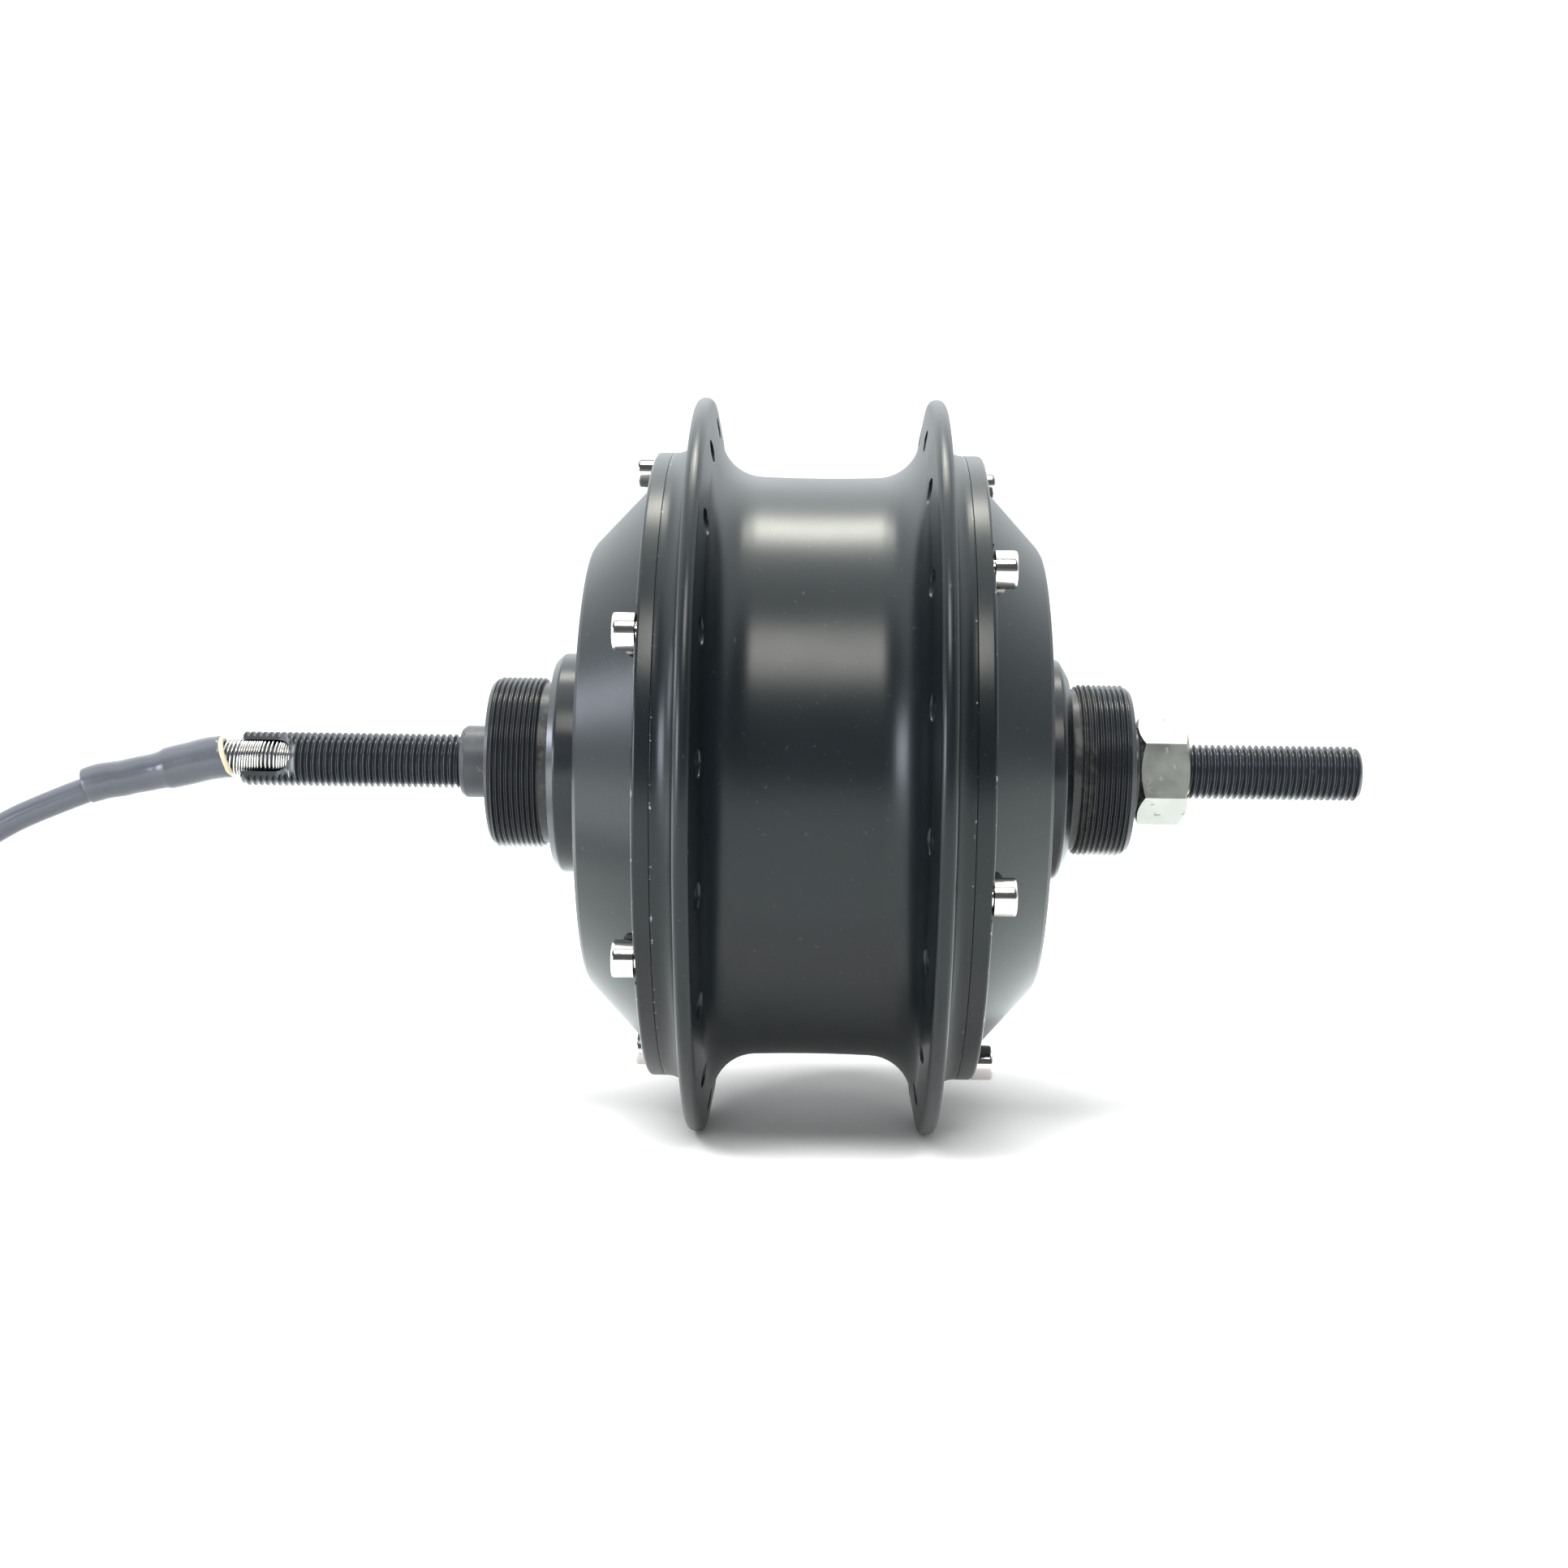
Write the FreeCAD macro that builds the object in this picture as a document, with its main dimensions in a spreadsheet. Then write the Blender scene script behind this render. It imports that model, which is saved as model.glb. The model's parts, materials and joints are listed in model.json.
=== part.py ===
"""Geared hub motor for a spoked bicycle wheel, as a parametric FreeCAD document.

Frame: millimetres. The axle lies along Y, +Y towards the end where the cable leaves, +Z up.
The origin is the hub's centre, on the axle's axis midway between the two spoke flanges.
Every driving size is a cell of the sheet "Sizes"; each sub-part reads those cells.
"""
import FreeCAD, Part
import math
import os
import Sketcher
from FreeCAD import Placement, Rotation, Vector
from fcgear import involute
from fcgear.fcgear import FCWireBuilder

# ---------------------------------------------------------------- driving sizes, millimetres
SIZES = {
    # hub shell
    "shell_half": 28.5, "shoulder_radius": 63.2, "flange_radius": 74.17,
    "flange_inner": 21.5, "flange_outer": 24.5, "flange_root_radius": 67.5,
    "flange_root": 20.2, "barrel_radius": 58.44, "barrel_fillet": 7.0, "rim_round": 1.45,
    "shoulder_fillet": 3.6, "shell_bore": 51.5, "register_bore": 53.5,
    "register_end": 24.8, "ring_seat_end": -5.9,
    "left_spoke_circle": 68.3, "right_spoke_circle": 67.65, "spoke_hole": 1.5,
    "spoke_sink": 2.4, "spoke_sink_depth": 0.6, "spoke_inner_sink": 2.6,
    "spoke_inner_sink_end": 21.0, "spoke_count": 18,
    "left_spoke_angle": 0.0, "right_spoke_angle": 8.8,
    # covers; the two sides differ in a few axial sizes
    "cover_edge": 0.4, "cone_foot_radius": 57.6, "cone_top_radius": 45.3,
    "register_radius": 53.42, "cavity_radius": 51.0, "cavity_top_radius": 43.0,
    "cavity_taper_end": 32.0, "cover_wall": 3.6, "cover_top_bevel": 1.0, "register_gap": 0.2,
    "boss_radius": 21.5, "collar_radius": 22.43,
    "thread_radius": 17.4, "thread_relief_radius": 16.5, "thread_tip_radius": 16.3,
    "bore_radius": 13.0, "seal_step": 15.4,
    "left_rim_face": 32.5, "left_cone_top": 44.3, "left_end_face": 45.0, "left_collar_end": 51.4,
    "left_bevel_end": 52.9, "left_bevel_radius": 21.0, "left_thread_start": 55.4,
    "left_thread_end": 64.73, "left_boss_end": 65.9,
    "right_rim_face": 32.0, "right_cone_top": 43.3, "right_end_face": 44.0,
    "right_collar_end": 48.72, "right_bevel_end": 50.44, "right_bevel_radius": 19.5,
    "right_thread_start": 52.4, "right_thread_end": 61.8, "right_boss_end": 63.2,
    # cover screws
    "screw_circle": 59.7, "screw_count": 6, "screw_head_radius": 3.5, "screw_head": 4.2,
    "screw_radius": 2.0, "screw_reach": 21.0, "tapped_spare": 0.6, "screw_gap": 0.05,
    "socket_radius": 1.73, "socket_depth": 2.0,
    "spot_radius": 4.7, "left_screw_angle": 23.2, "right_screw_angle": 37.25,
    # o-rings under the covers
    "oring_section": 0.75, "oring_radius": 52.6, "oring_groove": 51.8,
    "groove_start": 25.8, "groove_end": 27.4,
    # axle
    "axle_radius": 5.555, "axle_left_end": 117.73, "axle_right_end": -110.4, "axle_chamfer": 0.8,
    "axle_right_shoulder": -64.0, "right_seat_radius": 7.5, "right_seat_end": -36.5,
    "right_collar_radius": 9.0, "right_collar_stop": -33.5, "clutch_seat_end": -21.5,
    "thread_core_radius": 5.2, "sun_span_radius": 6.0, "stator_seat_start": 10.6,
    "stator_seat_radius": 8.5,
    "left_stop_start": 33.0, "left_stop_end": 37.5, "left_stop_radius": 10.5,
    "left_seat_end": 49.0, "bore_of_axle": 4.25, "bore_bottom": 31.5, "lead_hole": 3.4,
    "lead_plane": 35.2, "slot_floor": 2.6, "slot_start": 111.0, "slot_round": 4.4,
    "slot_turn": 14.0, "spacer_radius": 7.35, "spacer_end": 72.5, "spacer_bevel": 0.7,
    "nut_flats": 19.0, "nut_inner": -65.1, "nut_outer": -74.9, "nut_taper": 1.1,
    "nut_edge": 9.3,
    "washer_radius": 9.0,
    # main bearings, seals
    "bearing_outer_radius": 17.5, "bearing_width": 10.0, "race_wall": 3.0, "shield": 0.8,
    "shield_gap": 0.35, "left_bearing_start": 37.5, "right_bearing_start": 36.5,
    "seal_width": 6.0, "seal_inset": 1.0, "seal_lip_gap": 0.1, "seal_lip": 0.6,
    "seal_web": 2.2, "seal_wall": 1.6,
    # motor
    "stator_start": 12.5, "stator_end": 29.5, "stator_radius": 41.0, "stator_yoke_inner": 20.0,
    "stator_yoke_outer": 25.0, "tooth_width": 5.0, "tooth_shoe": 2.0, "tooth_count": 18,
    "tooth_root": 1.0, "slot_mouth": 2.6, "coil_overhang": 4.0, "coil_side": 2.1,
    "coil_gap": 0.2, "coil_clear": 0.6, "air_gap": 0.6, "magnet_gap_angle": 2.2,
    "magnet_thickness": 3.0, "magnet_count": 20, "magnet_start": 11.0, "magnet_end": 31.0,
    "bell_wall": 4.0, "bell_web_start": -4.0, "bell_web_end": 0.0, "bell_rim_end": 32.0,
    "bell_hub_radius": 18.0, "bell_hub_end": 9.4, "rotor_bearing_radius": 12.0,
    "rotor_bearing_width": 6.0, "rotor_bearing_wall": 1.8, "rotor_bearing_gap": 0.5,
    "board_inner": 22.0, "board_outer": 37.0, "board_start": 34.4, "board_thickness": 1.6,
    "lead_radius": 0.95, "lead_low": 4.6, "lead_high": 21.6, "lead_spacing": 2.1,
    "key_depth": 1.5, "stop_ring_wall": 1.6, "small_gap": 0.1,
    # planetary gear stage
    "gear_module": 1.0, "sun_teeth": 21, "planet_teeth": 36, "ring_teeth": 93,
    "planet_count": 3, "pressure_angle": 20.0, "planet_shift": -0.12,
    "gear_start": -19.0, "gear_end": -7.0, "ring_start": -20.0, "ring_end": -6.0,
    "ring_outer_radius": 53.42, "sun_flange_radius": 19.0, "sun_flange_start": -6.4,
    "sun_bore": 6.6, "sun_screw_circle": 15.4, "sun_screw_count": 4, "sun_screw_head": 2.4,
    "sun_screw_radius": 1.25, "sun_screw_sink": 1.2, "sun_overlap": 0.5,
    "ring_addendum": 0.8, "planet_pin_radius": 4.0, "pin_reach": 1.8, "clip_gap": 0.6,
    "clip_width": 0.8, "clip_wall": 1.4, "race_inset": 0.5,
    "planet_bearing_outer": 8.0, "planet_bearing_wall": 1.5, "carrier_radius": 35.0,
    "carrier_start": -25.0, "carrier_end": -20.2, "carrier_hub_radius": 21.5,
    "carrier_hub_start": -33.0, "clutch_outer_radius": 17.5, "clutch_track_radius": 15.5,
    "clutch_inner_radius": 11.5, "roller_count": 12, "clutch_start": -32.6, "clutch_end": -22.6,
    "clutch_lip": 2.0, "clutch_gap": 0.2, "roller_gap": 0.01, "roller_inset": 1.0,
    "dowel_radius": 1.6, "key_width": 3.0,
    # cable
    "cable_radius": 2.7, "spring_radius": 3.85, "spring_bore": 3.4, "spring_start": 99.0,
    "spring_end": 121.6, "sleeve_radius": 4.1, "glue_length": 0.9,
    "coil_inner_turn": 26.0, "coil_pitch": 5.6, "coil_turns": 1.75,
    "coil_centre_x": 26.0, "coil_centre_y": 236.0,
    "coil_clearance": 0.1, "tie_width": 5.0, "tie_thickness": 0.9,
    "connector_radius": 6.6, "connector_start": -9.0, "boot_length": 13.0, "boot_wall": 0.9,
    "grip_step": 1.0, "grip_length": 15.0, "skirt_radius": 5.4, "skirt_bore": 4.2,
    "skirt_length": 10.0, "skirt_floor": 1.0, "pin_count": 8, "pin_circle": 2.6,
    "pin_radius": 0.45, "pin_length": 6.0, "cable_in_connector": 0.2,
}
PAST = 1.0      # how far a cutting tool runs past the face that it opens

doc = FreeCAD.newDocument("HubMotor")
sheet = doc.addObject("Spreadsheet::Sheet", "Sizes")
for row, (alias, size) in enumerate(SIZES.items(), start=1):
    sheet.set("A%d" % row, alias)
    sheet.set("B%d" % row, str(size))
    sheet.setAlias("B%d" % row, alias)
doc.recompute()


class Dim:
    """A size together with the sheet expression that gives it."""

    def __init__(self, value, text):
        self.value = value
        self.text = text

    def _join(self, other, sign, value):
        text = other.text if isinstance(other, Dim) else repr(float(other))
        return Dim(value, "(%s %s %s)" % (self.text, sign, text))

    def __add__(self, other):
        return self._join(other, "+", self.value + number(other))

    def __sub__(self, other):
        return self._join(other, "-", self.value - number(other))

    def __mul__(self, other):
        return self._join(other, "*", self.value * number(other))

    def times(self, count):
        """This size times a number of pieces, such as a module times a count of teeth."""
        return Dim(self.value * count.value, "(%s * %s)" % (self.text, count.text))

    def __neg__(self):
        return self * -1.0


def number(size):
    return size.value if isinstance(size, Dim) else float(size)


def dim(alias):
    return Dim(float(SIZES[alias]), "Sizes.%s" % alias)


def plain(alias):
    """The sheet's own number, for shapes made by Part's functions."""
    return float(sheet.get(alias))


def bind(obj, prop, size):
    if isinstance(size, Dim):
        obj.setExpression(prop, size.text)
    else:
        setattr(obj, prop, float(size))


# ---------------------------------------------------------------- building blocks
NODES = []
ALONG_Y = Rotation(Vector(1, 0, 0), -90)
TURNED = Rotation(Vector(1, 0, 0), 180)      # the other side of the hub: Y and Z reversed


def node(obj, label):
    """Marks a finished sub-part: its label is its node's name."""
    obj.Label = label
    NODES.append(obj)
    return obj


def place(obj, x=None, y=None, z=None, rotation=None):
    if rotation is not None:
        obj.Placement = Placement(Vector(0, 0, 0), rotation)
    for axis, size in (("x", x), ("y", y), ("z", z)):
        if isinstance(size, Dim):
            obj.setExpression("Placement.Base.%s" % axis, size.text)
        elif size:
            obj.setExpression("Placement.Base.%s" % axis, repr(float(size)))
    return obj


def rod(name, radius, start, end, x=None, z=None):
    """A cylinder along +Y from start to end."""
    cylinder = doc.addObject("Part::Cylinder", name)
    bind(cylinder, "Radius", radius)
    bind(cylinder, "Height", end - start)
    return place(cylinder, x, start, z, ALONG_Y)


def cut(name, base, *tools):
    result = doc.addObject("Part::Cut", name)
    result.Base = base
    result.Tool = tools[0] if len(tools) == 1 else group(name + "_tools", tools)
    return result


def fuse(name, *parts):
    result = doc.addObject("Part::MultiFuse", name)
    result.Shapes = list(parts)
    return result


def group(name, parts):
    result = doc.addObject("Part::Compound", name)
    result.Links = list(parts)
    return result


def origin_plane(body, role):
    return [f for f in body.Origin.OriginFeatures if f.Role == role][0]


def lathe(name, corners):
    """A body turned about Y from a closed outline of (radius, position along Y) corners."""
    body = doc.addObject("PartDesign::Body", name)
    sketch = body.newObject("Sketcher::SketchObject", name + "_outline")
    sketch.AttachmentSupport = [(origin_plane(body, "XY_Plane"), "")]
    sketch.MapMode = "FlatFace"
    points = [Vector(number(r), number(y), 0) for r, y in corners]
    count = len(points)
    for i in range(count):
        sketch.addGeometry(Part.LineSegment(points[i], points[(i + 1) % count]), False)
    for i in range(count):
        sketch.addConstraint(Sketcher.Constraint("Coincident", i, 2, (i + 1) % count, 1))
    for i, (radius, position) in enumerate(corners):
        for kind, size in (("DistanceX", radius), ("DistanceY", position)):
            index = sketch.addConstraint(Sketcher.Constraint(kind, -1, 1, i, 1, number(size)))
            if isinstance(size, Dim):
                sketch.setExpression("Constraints[%d]" % index, size.text)
    turned = body.newObject("PartDesign::Revolution", name + "_turned")
    turned.Profile = sketch
    turned.ReferenceAxis = (sketch, ["V_Axis"])
    turned.Angle = 360.0
    body.Tip = turned
    return body


def ring(name, outer, inner, start, end):
    """A plain ring about Y."""
    return lathe(name, [(outer, start), (outer, end), (inner, end), (inner, start)])


def round_edges(body, radius, picks):
    """Rounds the circular edges of a turned body that lie at the picked (radius, y) corners."""
    doc.recompute()
    base = body.Tip
    names = []
    for index, edge in enumerate(base.Shape.Edges, start=1):
        curve = edge.Curve
        if not hasattr(curve, "Radius"):
            continue
        for pick_radius, pick_y in picks:
            near = abs(curve.Radius - number(pick_radius)) < 0.01
            if near and abs(curve.Center.y - number(pick_y)) < 0.01:
                names.append("Edge%d" % index)
    fillet = body.newObject("PartDesign::Fillet", body.Name + "_round%d" % len(body.Group))
    fillet.Base = (base, names)
    bind(fillet, "Radius", radius)
    body.Tip = fillet
    return len(names)


def polar(radius, angle, count, index):
    """x and z of one place on a circle about Y; angle counts from -X up towards +Z."""
    turn = "((%s + %d * 360 / %d) * 1 deg)" % (angle.text, index, int(number(count)))
    theta = math.radians(angle.value + index * 360.0 / number(count))
    x = Dim(-radius.value * math.cos(theta), "(-%s * cos%s)" % (radius.text, turn))
    z = Dim(radius.value * math.sin(theta), "(%s * sin%s)" % (radius.text, turn))
    return x, z


def rods_on_circle(name, circle, angle, count, radius, start, end):
    pieces = []
    for index in range(int(number(count))):
        x, z = polar(circle, angle, count, index)
        pieces.append(rod("%s_%d" % (name, index), radius, start, end, x, z))
    return pieces


def made(label, shape):
    """A sub-part whose shape is made by Part's functions from the sheet's numbers."""
    feature = doc.addObject("Part::Feature", label)
    feature.Shape = shape
    return node(feature, label)


def along_y(shape, end=0.0):
    """Lays a shape that was drawn in XY and raised along Z along Y, below y = end."""
    shape.rotate(Vector(0, 0, 0), Vector(1, 0, 0), 90)
    shape.translate(Vector(0, end, 0))
    return shape


# ---------------------------------------------------------------- hub shell
def hub_shell():
    half, bore, seat = dim("shell_half"), dim("shell_bore"), dim("register_bore")
    shoulder, rim = dim("shoulder_radius"), dim("flange_radius")
    barrel, root_radius = dim("barrel_radius"), dim("flange_root_radius")
    inner, outer, root = dim("flange_inner"), dim("flange_outer"), dim("flange_root")
    foot = dim("flange_root") - dim("barrel_fillet") * 0.1
    body = lathe("shell_turned", [
        (seat, half), (shoulder, half), (shoulder, outer), (rim, outer), (rim, inner),
        (root_radius, root), (barrel, foot), (barrel, -foot), (root_radius, -root),
        (rim, -inner), (rim, -outer), (shoulder, -outer), (shoulder, -half), (seat, -half),
        (seat, dim("ring_seat_end")), (bore, dim("ring_seat_end")),
        (bore, dim("register_end")), (seat, dim("register_end"))])
    round_edges(body, dim("rim_round"), [(rim, s) for s in (outer, inner, -outer, -inner)])
    round_edges(body, dim("shoulder_fillet"), [(shoulder, outer), (shoulder, -outer)])
    round_edges(body, dim("barrel_fillet"), [(barrel, foot), (barrel, -foot)])
    tools = []
    sides = (("left", 1.0), ("right", -1.0))
    for side, sign in sides:
        angle, count = dim(side + "_spoke_angle"), dim("spoke_count")
        circle = dim(side + "_spoke_circle")
        low, high = (root - PAST, outer + PAST) if sign > 0 else (-outer - PAST, -root + PAST)
        tools += rods_on_circle(side + "_spoke", circle, angle, count, dim("spoke_hole"),
                                low, high)
        sink = dim("spoke_sink_depth")
        low, high = (outer - sink, outer + PAST) if sign > 0 else (-outer - PAST, sink - outer)
        tools += rods_on_circle(side + "_sink", circle, angle, count, dim("spoke_sink"),
                                low, high)
        end = dim("spoke_inner_sink_end")
        low, high = (root - PAST, end) if sign > 0 else (-end, -root + PAST)
        tools += rods_on_circle(side + "_inner_sink", circle, angle, count,
                                dim("spoke_inner_sink"), low, high)
        angle = dim(side + "_screw_angle")
        reach = dim("screw_reach") - dim("tapped_spare")
        low, high = (reach, half + PAST) if sign > 0 else (-half - PAST, -reach)
        tools += rods_on_circle(side + "_tapped", dim("screw_circle"), angle,
                                dim("screw_count"), dim("screw_radius"), low, high)
    tools += rods_on_circle("dowel_hole", dim("ring_outer_radius"), dim("left_spoke_angle"),
                            dim("planet_count"), dim("dowel_radius"), dim("ring_start"),
                            dim("ring_end"))
    return node(cut("shell_drilled", body, *tools), "hub_shell")


# ---------------------------------------------------------------- side covers
def side_cover(side):
    """One cover with its threaded boss and o-ring, drawn on the +Y side.

    The right-hand ones are turned over into place.
    """
    def here(alias):
        return dim("%s_%s" % (side, alias))

    half, wall, edge = dim("shell_half"), dim("cover_wall"), dim("cover_edge")
    rim, register, top = dim("shoulder_radius"), dim("register_radius"), dim("cone_top_radius")
    boss, end_face = dim("boss_radius"), here("end_face")
    register_end = dim("register_end") + dim("register_gap")
    dish = lathe(side + "_cover_turned", [
        (rim, half), (rim, here("rim_face") - edge), (rim - edge, here("rim_face")),
        (dim("cone_foot_radius"), here("rim_face")), (top, here("cone_top")),
        (top - dim("cover_top_bevel"), end_face), (boss, end_face), (boss, end_face - wall),
        (dim("cavity_top_radius"), end_face - wall),
        (dim("cavity_radius"), dim("cavity_taper_end")), (dim("cavity_radius"), register_end),
        (register, register_end), (register, dim("groove_start")),
        (dim("oring_groove"), dim("groove_start")), (dim("oring_groove"), dim("groove_end")),
        (register, dim("groove_end")), (register, half)])
    sign = 1.0 if side == "left" else -1.0
    angle, count = here("screw_angle") * sign, dim("screw_count")
    circle = dim("screw_circle")
    tools = rods_on_circle(side + "_spot", circle, angle, count, dim("spot_radius"),
                           here("rim_face"), end_face)
    tools += rods_on_circle(side + "_clear", circle, angle, count,
                            dim("screw_radius") + dim("screw_gap"), half - PAST, end_face)
    cover = node(cut(side + "_cover_cut", dish, *tools), side + "_cover")

    bearing_start = here("bearing_start")
    bearing_end = bearing_start + dim("bearing_width")
    relief, thread = dim("thread_relief_radius"), dim("thread_radius")
    seat, bore, collar = dim("bearing_outer_radius"), dim("bore_radius"), dim("collar_radius")
    threaded = node(lathe(side + "_boss_turned", [
        (boss, bearing_start), (boss, end_face), (collar, end_face),
        (collar, here("collar_end")), (here("bevel_radius"), here("bevel_end")),
        (relief, here("bevel_end")), (relief, here("thread_start")),
        (thread, here("thread_start")), (thread, here("thread_end")),
        (dim("thread_tip_radius"), here("boss_end")), (bore, here("boss_end")),
        (bore, bearing_end + PAST), (dim("seal_step"), bearing_end), (seat, bearing_end),
        (seat, bearing_start)]), side + "_boss")

    ring_seal = doc.addObject("Part::Torus", side + "_oring")
    bind(ring_seal, "Radius1", dim("oring_radius"))
    bind(ring_seal, "Radius2", dim("oring_section"))
    middle = (dim("groove_start") + dim("groove_end")) * (0.5 * sign)
    place(ring_seal, None, middle, None, ALONG_Y)
    node(ring_seal, side + "_cover_oring")
    if side == "right":
        cover.Placement = Placement(Vector(0, 0, 0), TURNED)
        threaded.Placement = Placement(Vector(0, 0, 0), TURNED)


def cover_screws(side):
    """Six socket-head screws, each a separate solid."""
    sign = 1.0 if side == "left" else -1.0
    face, angle = dim(side + "_rim_face"), dim(side + "_screw_angle") * sign
    circle, count = dim("screw_circle"), dim("screw_count")
    top = face + dim("screw_head")
    screws = []
    for index in range(int(number(count))):
        x, z = polar(circle, angle, count, index)
        name = "%s_screw_%d" % (side, index)
        head = rod(name + "_head", dim("screw_head_radius"), face, top, x, z)
        shank = rod(name + "_shank", dim("screw_radius"), dim("screw_reach"),
                    face + dim("screw_gap"), x, z)
        socket = doc.addObject("Part::Prism", name + "_socket")
        socket.Polygon = 6
        bind(socket, "Circumradius", dim("socket_radius"))
        bind(socket, "Height", dim("socket_depth") + PAST)
        place(socket, x, top - dim("socket_depth"), z, ALONG_Y)
        screws.append(cut(name, fuse(name + "_blank", head, shank), socket))
    screws_node = node(group(side + "_screws", screws), side + "_cover_screws")
    if side == "right":
        screws_node.Placement = Placement(Vector(0, 0, 0), TURNED)


def main_bearing(side, inner_radius):
    """A sealed ball bearing as its two races; the shields stand on the outer race."""
    sign = 1.0 if side == "left" else -1.0
    start = dim(side + "_bearing_start")
    end = start + dim("bearing_width")
    outer, wall, shield = dim("bearing_outer_radius"), dim("race_wall"), dim("shield")
    inner = dim(inner_radius)
    lip = inner + wall + dim("shield_gap")
    races = [
        (side + "_bearing_outer_race", [
            (outer, start), (outer, end), (lip, end), (lip, end - shield),
            (outer - wall, end - shield), (outer - wall, start + shield),
            (lip, start + shield), (lip, start)]),
        (side + "_bearing_inner_race", [
            (inner + wall, start), (inner + wall, end), (inner, end), (inner, start)]),
    ]
    for label, corners in races:
        node(lathe(label + "_turned", [(r, y * sign) for r, y in corners]), label)


def oil_seal(side, shaft_radius):
    sign = 1.0 if side == "left" else -1.0
    end = dim(side + "_boss_end") - dim("seal_inset")
    start = end - dim("seal_width")
    lip = shaft_radius + dim("seal_lip_gap")
    outer, web, wall = dim("bore_radius"), lip + dim("seal_web"), dim("seal_wall")
    corners = [(outer, start), (outer, end), (lip + dim("seal_lip"), end),
               (lip, end - wall * 0.6), (web, end - wall * 1.2),
               (outer - wall, end - wall * 1.2), (outer - wall, start)]
    node(lathe(side + "_seal_turned", [(r, y * sign) for r, y in corners]), side + "_oil_seal")


# ---------------------------------------------------------------- axle and what is fixed to it
def key_block(name, reach_low, start, end):
    """A square key lying along Y on the +Z side of the axle."""
    width = dim("key_width")
    block = doc.addObject("Part::Box", name)
    bind(block, "Length", width)
    bind(block, "Width", end - start)
    bind(block, "Height", width)
    return place(block, width * -0.5, start, reach_low)


def axle():
    thread, core, bevel = dim("axle_radius"), dim("thread_core_radius"), dim("axle_chamfer")
    left_end, right_end = dim("axle_left_end"), dim("axle_right_end")
    centre = Dim(0.0, "0.0")
    body = lathe("axle_turned", [
        (centre, right_end), (thread - bevel, right_end), (thread, right_end + bevel),
        (thread, dim("nut_outer")), (core, dim("nut_outer")),
        (core, dim("axle_right_shoulder")),
        (dim("right_seat_radius"), dim("axle_right_shoulder")),
        (dim("right_seat_radius"), dim("right_seat_end")),
        (dim("right_collar_radius"), dim("right_seat_end")),
        (dim("right_collar_radius"), dim("right_collar_stop")),
        (dim("right_seat_radius"), dim("right_collar_stop")),
        (dim("right_seat_radius"), dim("clutch_seat_end")),
        (dim("sun_span_radius"), dim("clutch_seat_end")),
        (dim("sun_span_radius"), dim("stator_seat_start")),
        (dim("stator_seat_radius"), dim("stator_seat_start")),
        (dim("stator_seat_radius"), dim("left_stop_start")),
        (dim("left_stop_radius"), dim("left_stop_start")),
        (dim("left_stop_radius"), dim("left_stop_end")),
        (dim("stator_seat_radius"), dim("left_stop_end")),
        (dim("stator_seat_radius"), dim("left_seat_end")),
        (core, dim("left_seat_end")), (core, dim("spacer_end")), (thread, dim("spacer_end")),
        (thread, left_end - bevel * 0.5),
        (thread - bevel * 0.5, left_end), (centre, left_end)])
    bore = rod("axle_bore", dim("bore_of_axle"), dim("bore_bottom"), left_end + PAST)
    lead_hole = doc.addObject("Part::Cylinder", "lead_hole")
    bind(lead_hole, "Radius", dim("lead_hole"))
    bind(lead_hole, "Height", dim("left_stop_radius") + PAST)
    place(lead_hole, None, dim("lead_plane"), None)

    # The cable's way out: a flat milled across the axle's end, with a round at its inner end.
    floor, reach = dim("slot_floor"), dim("slot_round")
    deep = floor + reach
    slot_box = doc.addObject("Part::Box", "slot_box")
    bind(slot_box, "Length", reach)
    bind(slot_box, "Width", left_end - dim("slot_start") + PAST)
    bind(slot_box, "Height", deep * 2.0)
    place(slot_box, -deep, dim("slot_start"), -deep)
    slot_round = doc.addObject("Part::Cylinder", "slot_round")
    bind(slot_round, "Radius", reach)
    bind(slot_round, "Height", deep * 2.0)
    place(slot_round, -deep, dim("slot_start"), -deep)
    slot = fuse("cable_slot", slot_box, slot_round)
    slot.Placement = Placement(Vector(0, 0, 0), Rotation(Vector(0, 1, 0), 1.0))
    slot.setExpression("Placement.Rotation.Angle", "Sizes.slot_turn * 1 deg")

    key_depth = dim("key_depth")
    stator_at = (dim("stator_seat_radius") - key_depth, dim("stator_start"), dim("stator_end"))
    clutch_at = (dim("right_seat_radius") - key_depth, dim("clutch_start"), dim("clutch_end"))
    node(cut("axle_cut", body, bore, lead_hole, slot, key_block("stator_keyway", *stator_at),
             key_block("clutch_keyway", *clutch_at)), "axle")
    node(key_block("stator_key_block", *stator_at), "stator_key")
    node(key_block("clutch_key_block", *clutch_at), "clutch_key")


def axle_spacer():
    outer, inner, bevel = dim("spacer_radius"), dim("thread_core_radius"), dim("spacer_bevel")
    start, end = dim("left_seat_end"), dim("spacer_end")
    node(lathe("spacer_turned", [(inner, start), (outer, start), (outer, end - bevel),
                                 (outer - bevel, end), (inner, end)]), "axle_spacer")


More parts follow.
